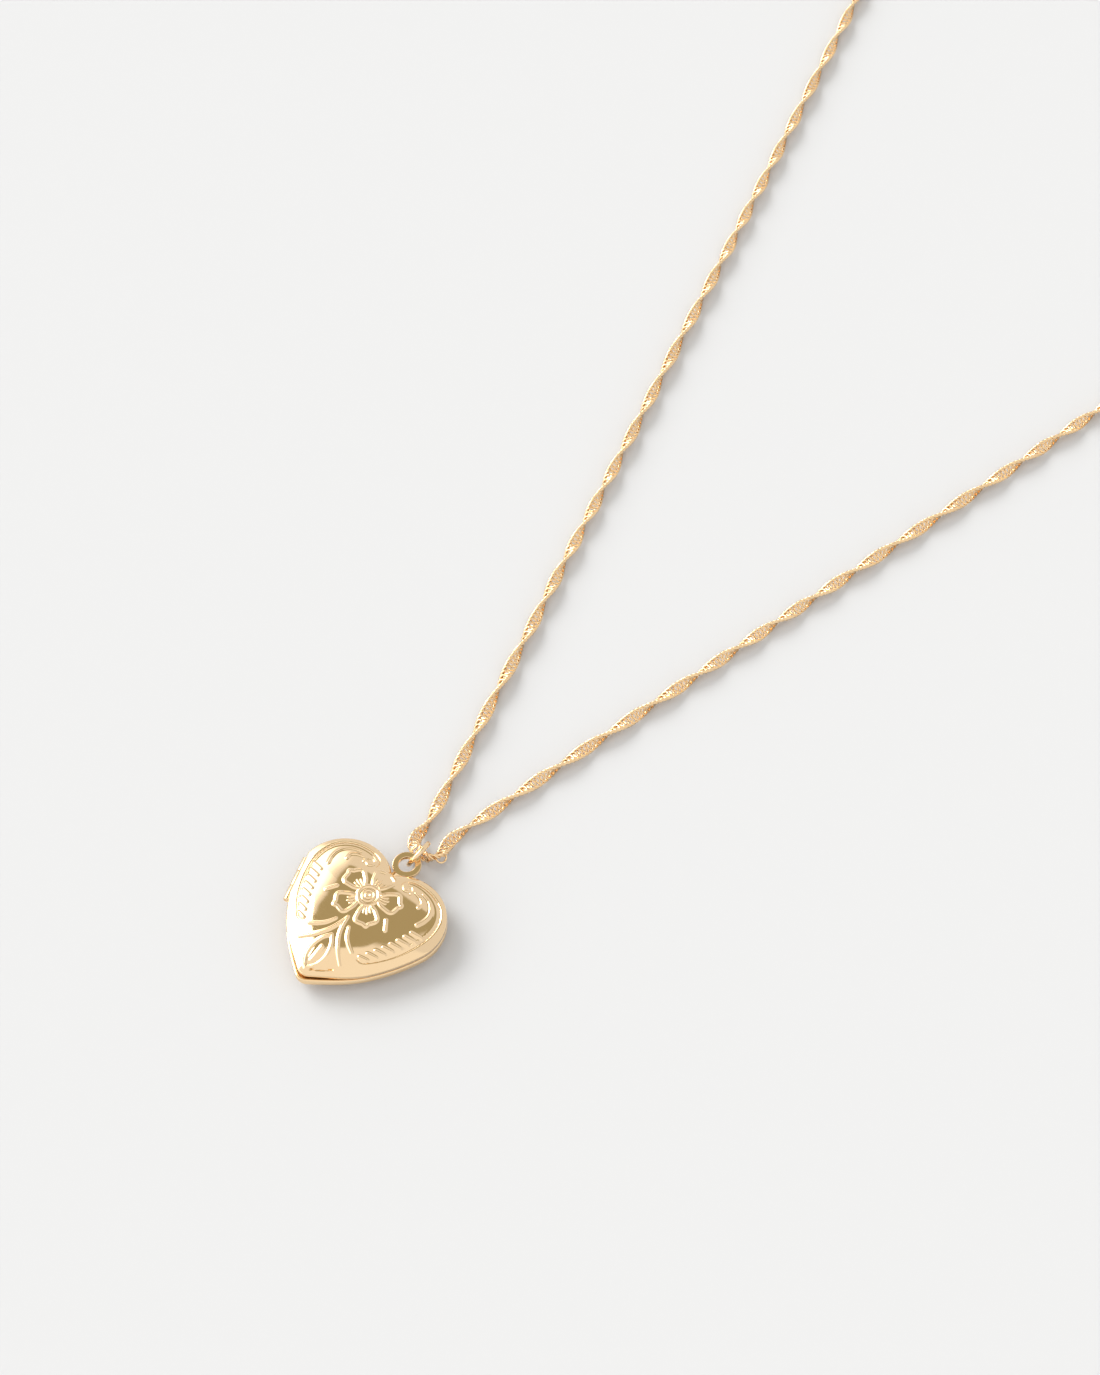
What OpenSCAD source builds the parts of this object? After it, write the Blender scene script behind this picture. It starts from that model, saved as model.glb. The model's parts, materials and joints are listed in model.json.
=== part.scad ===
// Heart locket on a fine twisted curb chain.
// Units are millimetres. The locket lies on its back on the plane z = 0, bail towards +Y, hinge on
// the -X side, with the origin under the middle of the locket, its bail and its jump ring.

/* [Heart case] */
// Radius of each lobe of the heart
lobe_radius = 5.8; // [5.6:0.1:6]
// Distance of each lobe's centre from the middle line
lobe_x = 4.2; // [4:0.1:4.4]
// Radius of the long curve from each lobe to the tip
flank_radius = 24; // [23:1:26]
// Rounding of the tip of the back cover
tip_radius = 1.5; // [1.2:0.1:1.8]
// Thickness of the stamped sheet
sheet = 0.4; // [0.35:0.05:0.45]
// Depth of the back cover's dome
back_depth = 1.6; // [1.5:0.1:1.8]
// Height of the back cover's upright edge
back_edge = 0.9; // [0.8:0.1:1]
// Height of the front cover's upright edge
front_edge = 0.6; // [0.55:0.05:0.7]
// Rise of the front cover's dome above its edge, raised pattern included
front_rise = 1.4; // [1.2:0.1:1.5]
// How far the back cover's tip is drawn back from where its curves meet
back_tip_lift = 0.4; // [0.3:0.1:0.5]
// How far the front cover's tip is drawn back, past the back cover's, as a thumbnail notch
front_tip_lift = 0.8; // [0.6:0.1:1]

/* [Hinge] */
// Outer radius of the knuckles
knuckle_radius = 0.45; // [0.42:0.01:0.48]
// Radius of the hinge pin
pin_radius = 0.2; // [0.18:0.01:0.22]
// Length of all three knuckles together
hinge_length = 6; // [5:0.5:6.5]
// Lean of the hinge from the middle line of the heart
hinge_lean = 18; // [16:1:20]

/* [Bail and jump ring] */
// Outer diameter of the bail
bail_od = 3.5; // [3.4:0.1:3.8]
// Diameter of the bail's hole
bail_hole = 2; // [1.9:0.1:2.2]
// Thickness of the bail
bail_thick = 0.55; // [0.5:0.05:0.6]
// Outer diameter of the jump ring
jump_od = 4; // [3.9:0.1:4.1]
// Diameter of the jump ring's wire
jump_wire = 0.6; // [0.5:0.05:0.6]

/* [Chain and clasp] */
// Width of the chain
chain_width = 1.7; // [1.5:0.1:1.8]
// Radius of the outermost turn of each coil, to the middle of the chain
coil_radius = 10.6; // [10:0.1:11]
// Thickness of the clasp's body
clasp_thick = 2; // [1.8:0.1:2.2]
// Radius of the clasp's pivot pin
clasp_pin_radius = 0.3; // [0.28:0.01:0.32]

/* [Hidden] */

gold = [0.86, 0.70, 0.44];
gold_deep = [0.74, 0.58, 0.33];
clear_film = [0.85, 0.9, 0.92, 0.4];
smooth = 96;

// Where the heart's own frame sits in the part's frame
heart_at = [0.2, -1.86, 0];

// Heights
seam_gap = 0.2;
back_top = back_depth + back_edge;
front_bottom = back_top + seam_gap;
front_shoulder = front_bottom + front_edge;
hinge_z = back_top + seam_gap / 2;

// Outline of the heart: soft notch, lobe arc, long flank arc and rounded tip on each side
lobe_y = 2.9;
notch_round = 0.3;
notch_centre = [0, lobe_y + sqrt(pow(lobe_radius + notch_round, 2) - pow(lobe_x, 2))];
notch_turn = atan2(lobe_y - notch_centre.y, lobe_x);
notch_steps = 3;
flank_from = -22;
flank_centre = [lobe_x, lobe_y]
    + (lobe_radius - flank_radius) * [cos(flank_from), sin(flank_from)];
lobe_steps = 20;
flank_steps = 14;
tip_steps = 4;

function tip_centre(inset, tip_r) =
    [0, flank_centre.y - sqrt(pow(flank_radius - inset - tip_r, 2) - pow(flank_centre.x, 2))];
function arc(centre, radius, from, to, steps, first = 0) =
    [for (i = [first:steps]) let (a = from + (to - from) * i / steps)
        centre + radius * [cos(a), sin(a)]];
function half_heart(inset, tip_r) =
    let (tip_at = tip_centre(inset, tip_r),
         to_tip = tip_at - flank_centre,
         tip_from = atan2(to_tip.y, to_tip.x))
    concat(arc(notch_centre, notch_round + inset, -90, notch_turn, notch_steps),
           arc([lobe_x, lobe_y], lobe_radius - inset, notch_turn + 180, flank_from, lobe_steps, 1),
           arc(flank_centre, flank_radius - inset, flank_from, tip_from, flank_steps, 1),
           arc(tip_at, tip_r, tip_from, -90, tip_steps, 1));
function heart(inset, tip_r) =
    let (half = half_heart(inset, tip_r))
    concat(half, [for (i = [len(half) - 2:-1:1]) [-half[i].x, half[i].y]]);

// The hinge side is cut straight, just inboard of the hinge axis
hinge_middle = [-8.88, -0.23];
hinge_out = [-cos(hinge_lean), -sin(hinge_lean)];
hinge_up = [-sin(hinge_lean), cos(hinge_lean)];
hinge_flat = 0.05;
function straight_at_hinge(p, inset) =
    p - max(0, (p - hinge_middle) * hinge_out + hinge_flat + inset) * hinge_out;

// Both covers' edges draw back towards the tip
lift_from = -5;
lift_over = 5;
function lifted(p, lift) =
    let (f = min(1, max(0, (lift_from - p.y) / lift_over)))
    [p.x, p.y + lift * f * f * (3 - 2 * f)];

function case_outline(inset, front, tip_r = undef) =
    let (r = is_undef(tip_r) ? max(tip_radius - inset, 0.4) : tip_r,
         lift = front ? front_tip_lift : back_tip_lift)
    [for (p = heart(inset, r)) straight_at_hinge(lifted(p, lift), inset)];

// Dome: level lines turn from the heart at the edge to round at the crown
dome_centre = [0, 1];
crown_round = 9.2;
dome_power = 2.6;
function level(outline, s) =
    let (w = pow(s, 1.5))
    [for (p = outline) let (v = p - dome_centre)
        dome_centre + s * ((1 - w) * crown_round * v / norm(v) + w * v)];
function dome(s, flat) = 1 - pow(max(0, (s - flat) / (1 - flat)), dome_power);
function at_height(points, z) = [for (p = points) [p.x, p.y, z]];

// Closed solid through a list of rings with the same number of points
module loft(rings) {
    n = len(rings[0]);
    last = len(rings) - 1;
    polyhedron(
        points = [for (r = rings) each r],
        faces = concat(
            [[for (i = [0:n - 1]) i]],
            [for (k = [0:last - 1], i = [0:n - 1]) let (j = (i + 1) % n)
                each [[k * n + i, (k + 1) * n + i, (k + 1) * n + j],
                      [k * n + i, (k + 1) * n + j, k * n + j]]],
            [[for (i = [n - 1:-1:0]) last * n + i]]));
}

dome_rings = 8;
front_flat = 0.12;
back_flat = 0.35;

// Stamped cover: upright edge from z = 0 up to the shoulder, then the dome
module stamped_cover(edge, rise, flat, front) {
    outer = case_outline(0, front);
    inner = case_outline(sheet, front);
    steps = [for (k = [0:dome_rings]) flat + (1 - flat) * k / dome_rings];
    loft(concat(
        [for (s = steps) at_height(level(inner, s), edge - sheet + rise * dome(s, flat))],
        [at_height(inner, 0), at_height(outer, 0)],
        [for (k = [dome_rings:-1:0])
            at_height(level(outer, steps[k]), edge + rise * dome(steps[k], flat))]));
}

module in_heart() {
    translate(heart_at) children();
}

// Cylinder along the hinge axis, from one distance along it to another
module along_hinge(from, to, radius) {
    translate([hinge_middle.x, hinge_middle.y, hinge_z])
        rotate([0, 0, hinge_lean])
            translate([0, from, 0])
                rotate([-90, 0, 0])
                    cylinder(h = to - from, r = radius, $fn = smooth);
}

knuckle_gap = 0.1;
middle_knuckle = 2;
groove_play = 0.06;
half_middle = middle_knuckle / 2;
half_hinge = hinge_length / 2;

module outer_knuckle_span(radius, spare) {
    along_hinge(half_middle + knuckle_gap - spare, half_hinge + spare, radius);
    along_hinge(-half_hinge - spare, -half_middle - knuckle_gap + spare, radius);
}

module front_cover() {
    color(gold) in_heart() difference() {
        translate([0, 0, front_bottom])
            stamped_cover(front_edge, front_rise, front_flat, true);
        outer_knuckle_span(knuckle_radius, groove_play);
        along_hinge(-half_middle - groove_play, half_middle + groove_play,
                    knuckle_radius + groove_play);
    }
}

bail_y = 9.55;
bail_bottom = back_top - bail_thick;
bail_tab_width = 1.2;
bail_tab_end = 6.95;
bail_slot_spare = 0.5;
bail_slot_length = 2;

module back_cover() {
    color(gold) in_heart() difference() {
        translate([0, 0, back_top]) mirror([0, 0, 1])
            stamped_cover(back_edge, back_depth, back_flat, false);
        along_hinge(-half_middle, half_middle, knuckle_radius);
        outer_knuckle_span(knuckle_radius + groove_play, knuckle_gap + 0.02);
        translate([-bail_tab_width / 2, bail_tab_end - bail_slot_spare, bail_bottom])
            cube([bail_tab_width, bail_slot_length, bail_thick + 1]);
    }
}

// Flat plate with the case's outline, drawn in from the edge
module plate(inset, front, tip_r, from, to) {
    translate([0, 0, from]) linear_extrude(to - from)
        polygon(case_outline(inset, front, tip_r));
}

frame_fit = 0.02;
frame_tip = 1;
lip_tip = 0.9;
inner_tip = 0.6;
frame_ledge = 0.25;
frame_opening = 1.7;
frame_bottom = back_top - 0.5;
lip_inset = 0.55;
lip_width = 0.4;
lip_top = front_bottom + 0.2;
bead_radius = 0.17;
bead_length = 0.8;
bead_proud = 0.08;
bead_y = min([for (p = case_outline(lip_inset, true, lip_tip)) p.y]) - bead_proud + bead_radius;

module bead_shape() {
    translate([-bead_length / 2, bead_y, front_bottom])
        rotate([0, 90, 0])
            cylinder(h = bead_length, r = bead_radius, $fn = smooth);
}

module back_photo_frame() {
    color(gold_deep) in_heart() difference() {
        union() {
            plate(sheet + frame_fit, false, frame_tip, frame_bottom, back_top);
            plate(lip_inset, true, lip_tip, frame_bottom, lip_top);
        }
        plate(lip_inset + lip_width, true, inner_tip, frame_bottom + frame_ledge, lip_top + 1);
        plate(frame_opening, true, inner_tip, frame_bottom - 1, lip_top + 1);
        bead_shape();
    }
}

module catch_bead() {
    color(gold) in_heart() bead_shape();
}

back_window_inset = 1.1;
back_window_thick = 0.2;

module back_window() {
    color(clear_film) in_heart()
        plate(back_window_inset, true, inner_tip, frame_bottom - back_window_thick, frame_bottom);
}

front_frame_bottom = lip_top + 0.02;
front_frame_top = front_bottom + 0.48;
front_frame_inset = 1.05;
front_frame_opening = 2.1;
front_window_inset = 1.7;
front_window_thick = 0.15;

module front_photo_frame() {
    color(gold_deep) in_heart() difference() {
        plate(front_frame_inset, true, inner_tip, front_frame_bottom, front_frame_top);
        plate(front_frame_opening, true, inner_tip, front_frame_bottom - 1, front_frame_top + 1);
    }
}

module front_window() {
    color(clear_film) in_heart()
        plate(front_window_inset, true, inner_tip, front_frame_top,
              front_frame_top + front_window_thick);
}

module bail() {
    color(gold_deep) in_heart() translate([0, 0, bail_bottom]) difference() {
        union() {
            translate([0, bail_y, 0]) cylinder(h = bail_thick, d = bail_od, $fn = smooth);
            translate([-bail_tab_width / 2, bail_tab_end, 0])
                cube([bail_tab_width, bail_y - bail_tab_end - bail_hole / 2, bail_thick]);
        }
        translate([0, bail_y, -1]) cylinder(h = bail_thick + 2, d = bail_hole, $fn = smooth);
    }
}

module hinge_pin() {
    color(gold_deep) in_heart() along_hinge(-half_hinge, half_hinge, pin_radius);
}

pin_play = 0.04;

module front_knuckles() {
    color(gold) in_heart() difference() {
        outer_knuckle_span(knuckle_radius, 0);
        along_hinge(-hinge_length, hinge_length, pin_radius + pin_play);
    }
}

module back_knuckle() {
    color(gold) in_heart() difference() {
        along_hinge(-half_middle, half_middle, knuckle_radius);
        along_hinge(-hinge_length, hinge_length, pin_radius);
    }
}

// Wire ring about the Z axis
module wire_ring(outer, wire) {
    rotate_extrude($fn = smooth)
        translate([(outer - wire) / 2, 0])
            circle(d = wire, $fn = 24);
}

jump_at = [0, 11.7, 2.05];
jump_lean = 22;

module jump_ring() {
    color(gold) in_heart() translate(jump_at)
        rotate([0, 90 + jump_lean, 0])
            wire_ring(jump_od, jump_wire);
}

// Routes of the two chain halves, from the jump ring outwards, in the part's frame
left_route = [[0.2, 10.2, 1.75], [-1, 10.5, 1.75], [-1.8, 11.8, 1.3], [-2, 13.8, 0.9],
              [-2.7, 16.8, 0.9], [-5.2, 26, 0.9], [-7.8, 35.5, 0.9], [-10.3, 44.8, 0.9],
              [-12.9, 54, 0.9], [-16.4, 67, 0.9], [-20.1, 80.5, 0.9], [-24, 94.5, 0.9],
              [-27.9, 109, 0.9], [-31.3, 121.3, 0.9], [-34.7, 133.5, 0.9], [-38.8, 148.1, 0.9],
              [-43, 163.2, 0.9], [-46, 174.1, 0.9]];
right_route = [[0.2, 10.2, 1.75], [1.4, 10.4, 1.7], [2, 11.8, 1.3], [1.6, 13.8, 0.9],
               [1.9, 16, 0.9], [4, 25, 0.9], [6.9, 37, 0.9], [10.7, 52.4, 0.9],
               [14.6, 68.4, 0.9], [18.7, 84.8, 0.9], [22.9, 101.8, 0.9], [26, 114.6, 0.9],
               [27.2, 119.4, 0.9], [29.5, 129, 0.9]];

// Smooth curve through the points of a route
function route_point(route, k, t) =
    let (n = len(route) - 1,
         a = route[max(0, k - 1)], b = route[k], c = route[min(n, k + 1)],
         d = route[min(n, k + 2)])
    0.5 * (2 * b + (c - a) * t + (2 * a - 5 * b + 4 * c - d) * t * t
           + (3 * b - a - 3 * c + d) * t * t * t);
tube_spacing = 2.6 * chain_width;
function smooth_route(route) = concat(
    [for (k = [0:len(route) - 2])
        let (steps = max(1, round(norm(route[k + 1] - route[k]) / tube_spacing)))
        for (i = [0:steps - 1]) route_point(route, k, i / steps)],
    [route[len(route) - 1]]);

tube_sides = 8;
thin_radius = 0.45;
thin_for = 3;
function tube_radius(k) =
    thin_radius + (chain_width / 2 - thin_radius) * min(1, max(0, (k - 1) / thin_for));
function tube_ring(centre, heading, radius) =
    let (side = cross(heading, [0, 0, 1]),
         across = side / norm(side),
         up = cross(across, heading))
    [for (i = [0:tube_sides - 1]) let (a = 360 * i / tube_sides)
        centre + radius * (cos(a) * across + sin(a) * up)];

module chain_tube(route) {
    path = smooth_route(route);
    last = len(path) - 1;
    loft([for (k = [0:last])
        let (ahead = path[min(last, k + 1)] - path[max(0, k - 1)],
             heading = k == 0 ? [path[1].x > path[0].x ? 1 : -1, 0, 0] : ahead / norm(ahead))
        tube_ring(path[k], heading, tube_radius(k))]);
}

module chain_left() {
    color(gold) chain_tube(left_route);
}

module chain_right() {
    color(gold) chain_tube(right_route);
}

// Coils: the rest of each chain half, wound flat
left_coil_at = [-56.2, 171.3, 0];
right_coil_at = [39.8, 126.5, 0];
left_coil_inner = 7.4;
right_coil_inner = 5.7;
coil_height = 1.75;

module coil_solid(inner) {
    outer = coil_radius + chain_width / 2;
    rotate_extrude($fn = smooth)
        translate([inner, 0]) square([outer - inner, coil_height]);
}

module chain_left_coil() {
    color(gold) translate(left_coil_at) coil_solid(left_coil_inner);
}

module chain_right_coil() {
    color(gold) translate(right_coil_at) coil_solid(right_coil_inner);
}

// Lobster clasp, lying inside the left coil. Its own frame: eye at the origin, hook towards +Y.
clasp_turn = 128.3;
clasp_eye_out = 4.9;
clasp_lift = 0.15;
module at_clasp() {
    translate(left_coil_at)
        rotate([0, 0, clasp_turn - 90])
            translate([0, clasp_eye_out, 0])
                rotate([0, 0, 180])
                    translate([0, 0, clasp_lift]) children();
}

eye_radius = 1.1;
eye_hole = 0.6;
eye_thick = 0.45;
pivot_at = [0.5, 2.9];
base_radius = 1.8;
hook_at = [0, 6.4];
hook_outer = 2.4;
hook_inner = 1.4;
slot_thick = 1;
lever_thick = 0.62;
lever_bottom = (clasp_thick - slot_thick) / 2 + 0.05;
lever_wide = 0.8;

module clasp_body() {
    color(gold) at_clasp() difference() {
        union() {
            translate([0, 0, (clasp_thick - eye_thick) / 2])
                cylinder(h = eye_thick, r = eye_radius, $fn = smooth);
            translate([-0.7, 0.9, (clasp_thick - eye_thick) / 2]) cube([1.4, 1, eye_thick]);
            translate([0, pivot_at.y, 0]) cylinder(h = clasp_thick, r = base_radius, $fn = smooth);
            translate([-hook_outer, pivot_at.y, 0])
                cube([1, hook_at.y - pivot_at.y, clasp_thick]);
            translate([hook_at.x, hook_at.y, 0])
                cylinder(h = clasp_thick, r = hook_outer, $fn = smooth);
        }
        translate([0, 0, -1]) cylinder(h = clasp_thick + 2, r = eye_hole, $fn = smooth);
        translate([hook_at.x, hook_at.y, -1])
            cylinder(h = clasp_thick + 2, r = hook_inner, $fn = smooth);
        // Mouth of the hook and the way down to the base
        translate([-0.2, pivot_at.y + base_radius - 0.25, -1])
            cube([4, hook_at.y - pivot_at.y - base_radius + 1.1, clasp_thick + 2]);
        // Slot for the lever
        translate([-1, pivot_at.y - 1, (clasp_thick - slot_thick) / 2])
            cube([4, 4.2, slot_thick]);
        translate([pivot_at.x, pivot_at.y, -1])
            cylinder(h = clasp_thick + 2, r = clasp_pin_radius, $fn = smooth);
    }
}

module clasp_lever() {
    color(gold) at_clasp() translate([0, 0, lever_bottom]) difference() {
        union() {
            translate([pivot_at.x, pivot_at.y, 0])
                cylinder(h = lever_thick, r = 0.75, $fn = smooth);
            translate([pivot_at.x, pivot_at.y - 0.3, 0])
                cube([1.45, 0.9, lever_thick]);
            translate([1.15, pivot_at.y + 0.2, 0])
                cube([lever_wide, hook_at.y + 0.35 - pivot_at.y, lever_thick]);
            translate([2.35, pivot_at.y + 0.55, 0])
                cylinder(h = lever_thick, r = 0.6, $fn = smooth);
        }
        translate([pivot_at.x, pivot_at.y, -1])
            cylinder(h = lever_thick + 2, r = clasp_pin_radius + pin_play, $fn = smooth);
    }
}

module clasp_pin() {
    color(gold_deep) at_clasp()
        translate([pivot_at.x, pivot_at.y, 0])
            cylinder(h = clasp_thick, r = clasp_pin_radius, $fn = smooth);
}

spring_wire = 0.2;
spring_od = 1.3;
spring_z = lever_bottom + lever_thick + 0.04 + spring_wire / 2;

module clasp_spring() {
    color(gold_deep) at_clasp() translate([pivot_at.x, pivot_at.y, spring_z]) {
        wire_ring(spring_od, spring_wire);
        translate([-(spring_od - spring_wire) / 2, 0.1, 0])
            rotate([90, 0, 0])
                cylinder(h = 1, d = 0.8 * spring_wire, $fn = 24);
    }
}

clasp_ring_at = [0, -1.35, 1.03];
clasp_ring_lean = 45;
clasp_ring_od = 3.1;
clasp_ring_wire = 0.5;

module clasp_ring() {
    color(gold) at_clasp() translate(clasp_ring_at)
        rotate([0, 90 - clasp_ring_lean, 0])
            wire_ring(clasp_ring_od, clasp_ring_wire);
}

end_ring_out = 4.9;
end_ring_angle = 50;

module end_ring() {
    color(gold) translate(right_coil_at)
        rotate([0, 0, end_ring_angle])
            translate([end_ring_out, 0, jump_wire / 2 + 0.01])
                wire_ring(jump_od, jump_wire);
}

front_cover();
back_cover();
front_photo_frame();
back_photo_frame();
front_window();
back_window();
catch_bead();
bail();
hinge_pin();
front_knuckles();
back_knuckle();
jump_ring();
chain_left();
chain_right();
chain_left_coil();
chain_right_coil();
clasp_body();
clasp_lever();
clasp_pin();
clasp_spring();
clasp_ring();
end_ring();
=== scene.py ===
"""Looks of a small heart locket on a twisted curb chain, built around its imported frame.

The case, chain and clasp are modelled in millimetres and written into their meshes in metres.
"""

import json
import logging
import math
from dataclasses import dataclass, field
from enum import Enum
from typing import Iterable, Sequence

import bmesh
import bpy
import numpy as np
from mathutils import Matrix, Vector


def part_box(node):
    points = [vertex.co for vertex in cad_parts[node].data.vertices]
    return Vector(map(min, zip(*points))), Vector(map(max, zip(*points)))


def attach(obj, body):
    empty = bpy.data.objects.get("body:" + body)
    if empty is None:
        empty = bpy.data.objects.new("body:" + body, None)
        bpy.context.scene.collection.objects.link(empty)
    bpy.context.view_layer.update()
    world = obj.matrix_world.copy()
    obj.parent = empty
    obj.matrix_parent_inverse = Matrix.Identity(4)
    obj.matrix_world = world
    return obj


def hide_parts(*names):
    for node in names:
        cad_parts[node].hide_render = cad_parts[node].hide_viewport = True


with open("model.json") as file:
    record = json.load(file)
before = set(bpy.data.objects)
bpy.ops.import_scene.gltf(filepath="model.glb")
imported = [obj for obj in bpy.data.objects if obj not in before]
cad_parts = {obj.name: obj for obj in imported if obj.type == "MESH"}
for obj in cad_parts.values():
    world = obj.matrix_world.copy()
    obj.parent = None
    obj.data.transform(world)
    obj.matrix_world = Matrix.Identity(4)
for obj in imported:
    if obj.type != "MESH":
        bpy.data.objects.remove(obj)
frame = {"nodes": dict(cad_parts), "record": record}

LOG = logging.getLogger("locket")
MM = 0.001
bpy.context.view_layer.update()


class Body(Enum):
    """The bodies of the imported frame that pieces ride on."""

    ROOT = "root"
    FRONT = "front_half"
    RING = "jump_ring"
    LEVER = "clasp_lever"


class Ends(Enum):
    """How a loft of rings is closed."""

    CAPPED = "capped"
    JOINED = "joined"


class Cut(Enum):
    """What a boolean does with its tool."""

    AWAY = "DIFFERENCE"
    ON = "UNION"


# ---------------------------------------------------------------- finishes


def noise(tree: bpy.types.NodeTree, scale: float, detail: float = 2.0,
          stretch: tuple[float, float, float] | None = None, turn: float = 0.0) -> bpy.types.NodeSocket:
    """Adds a noise pattern that sits still on its piece.

    Args:
        tree: The material's nodes.
        scale: Scale of the noise.
        detail: Its detail.
        stretch: Scale along each axis, for a drawn-out pattern.
        turn: Turn of such a pattern about Z, in radians.

    Returns:
        The socket with the noise.
    """
    pattern = tree.nodes.new("ShaderNodeTexNoise")
    pattern.inputs["Scale"].default_value = scale
    pattern.inputs["Detail"].default_value = detail
    spot = tree.nodes.new("ShaderNodeTexCoord").outputs["Object"]
    if stretch:
        mapping = tree.nodes.new("ShaderNodeMapping")
        mapping.inputs["Rotation"].default_value = (0.0, 0.0, turn)
        mapping.inputs["Scale"].default_value = stretch
        tree.links.new(spot, mapping.inputs["Vector"])
        spot = mapping.outputs["Vector"]
    tree.links.new(spot, pattern.inputs["Vector"])
    return pattern.outputs["Fac"]


def roughen(tree: bpy.types.NodeTree, pattern: bpy.types.NodeSocket, rough: tuple[float, float],
            between: tuple[float, float] = (0.0, 1.0)) -> None:
    """Lets a pattern set the roughness of a material.

    Args:
        tree: The material's nodes.
        pattern: The socket with the pattern.
        rough: Roughness at the low and the high end of the pattern.
        between: What counts as the low and the high end.
    """
    node = tree.nodes.new("ShaderNodeMapRange")
    node.inputs["From Min"].default_value, node.inputs["From Max"].default_value = between
    node.inputs["To Min"].default_value, node.inputs["To Max"].default_value = rough
    tree.links.new(pattern, node.inputs["Value"])
    tree.links.new(node.outputs["Result"], tree.nodes["Principled BSDF"].inputs["Roughness"])


@dataclass(frozen=True)
class PlatedGold:
    """Bright gold plating with a faint orange peel, hairline wear and a drift in tone.

    Attributes:
        name: Name of the material.
        tone: Main colour, linear.
        shade: Second colour that the plating drifts to, linear.
        polish: Roughness where it is best polished.
        wear: Roughness added where it is handled.
        peel: Height of the orange peel in metres.
        drift_scale: Scale of the drift in tone.
        peel_scale: Scale of the orange peel.
        hair_scale: Scale of the hairlines along each axis.
        hair_turn: Direction of the hairlines, in radians.
        hair_range: Where in their noise the hairlines start and where they are full.
    """

    name: str
    tone: tuple[float, float, float] = (0.93, 0.695, 0.425)
    shade: tuple[float, float, float] = (0.91, 0.66, 0.385)
    polish: float = 0.045
    wear: float = 0.07
    peel: float = 1.2e-6
    drift_scale: float = 260.0
    peel_scale: float = 1300.0
    hair_scale: tuple[float, float, float] = (900.0, 14000.0, 900.0)
    hair_turn: float = 0.6
    hair_range: tuple[float, float] = (0.45, 0.8)

    def material(self) -> bpy.types.Material:
        """Builds the material.

        Returns:
            The finished material.
        """
        mat = bpy.data.materials.new(self.name)
        mat.use_nodes = True
        tree = mat.node_tree
        shader = tree.nodes["Principled BSDF"]
        shader.inputs["Metallic"].default_value = 1.0
        colour = tree.nodes.new("ShaderNodeMix")
        colour.data_type = "RGBA"
        colour.inputs[6].default_value = (*self.tone, 1)
        colour.inputs[7].default_value = (*self.shade, 1)
        tree.links.new(noise(tree, self.drift_scale, 3.0), colour.inputs[0])
        tree.links.new(colour.outputs[2], shader.inputs["Base Color"])
        hairs = noise(tree, 1.0, 4.0, self.hair_scale, self.hair_turn)
        roughen(tree, hairs, (self.polish, self.polish + self.wear), self.hair_range)
        bump = tree.nodes.new("ShaderNodeBump")
        bump.inputs["Strength"].default_value = 0.5
        bump.inputs["Distance"].default_value = self.peel
        tree.links.new(noise(tree, self.peel_scale), bump.inputs["Height"])
        tree.links.new(bump.outputs["Normal"], shader.inputs["Normal"])
        return mat


@dataclass(frozen=True)
class ClearFilm:
    """Thin clear film over the photo frames, a little scuffed.

    Attributes:
        name: Name of the material.
        tint: Its colour, linear.
        bend: Its index of refraction.
        rough: Roughness where it is clean and where it is scuffed.
        scuff_scale: Scale of the scuffs.
    """

    name: str = "clear_film"
    tint: tuple[float, float, float] = (0.94, 0.96, 0.97)
    bend: float = 1.45
    rough: tuple[float, float] = (0.02, 0.14)
    scuff_scale: float = 700.0

    def material(self) -> bpy.types.Material:
        """Builds the material.

        Returns:
            The finished material.
        """
        mat = bpy.data.materials.new(self.name)
        mat.use_nodes = True
        tree = mat.node_tree
        shader = tree.nodes["Principled BSDF"]
        shader.inputs["Base Color"].default_value = (*self.tint, 1)
        shader.inputs["Transmission Weight"].default_value = 1.0
        shader.inputs["IOR"].default_value = self.bend
        roughen(tree, noise(tree, self.scuff_scale, 5.0), self.rough)
        return mat


@dataclass(frozen=True)
class SpringSteel:
    """Bright drawn spring wire.

    Attributes:
        name: Name of the material.
        tone: Its colour, linear.
        rough: Least and greatest roughness.
        grain_scale: Scale of the drawing marks.
    """

    name: str = "spring_wire"
    tone: tuple[float, float, float] = (0.6, 0.6, 0.62)
    rough: tuple[float, float] = (0.18, 0.34)
    grain_scale: float = 6000.0

    def material(self) -> bpy.types.Material:
        """Builds the material.

        Returns:
            The finished material.
        """
        mat = bpy.data.materials.new(self.name)
        mat.use_nodes = True
        tree = mat.node_tree
        shader = tree.nodes["Principled BSDF"]
        shader.inputs["Metallic"].default_value = 1.0
        shader.inputs["Base Color"].default_value = (*self.tone, 1)
        roughen(tree, noise(tree, self.grain_scale), self.rough)
        return mat


@dataclass
class Finishes:
    """All finishes of the locket, each made once.

    Attributes:
        polished: Covers, knuckles, bail and clasp.
        inner: Photo frames.
        wire: Rings and pins.
        chain: Chain links.
        film: Windows.
        spring: Clasp spring.
    """

    polished: bpy.types.Material = field(default_factory=lambda: PlatedGold("polished_gold").material())
    inner: bpy.types.Material = field(
        default_factory=lambda: PlatedGold("satin_gold", polish=0.16, wear=0.14).material())
    wire: bpy.types.Material = field(
        default_factory=lambda: PlatedGold("wire_gold", polish=0.06, wear=0.08).material())
    chain: bpy.types.Material = field(
        default_factory=lambda: PlatedGold(
            "chain_gold", tone=(0.97, 0.72, 0.43), shade=(0.93, 0.66, 0.37), polish=0.09).material())
    film: bpy.types.Material = field(default_factory=lambda: ClearFilm().material())
    spring: bpy.types.Material = field(default_factory=lambda: SpringSteel().material())


# ---------------------------------------------------------------- bench


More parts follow.
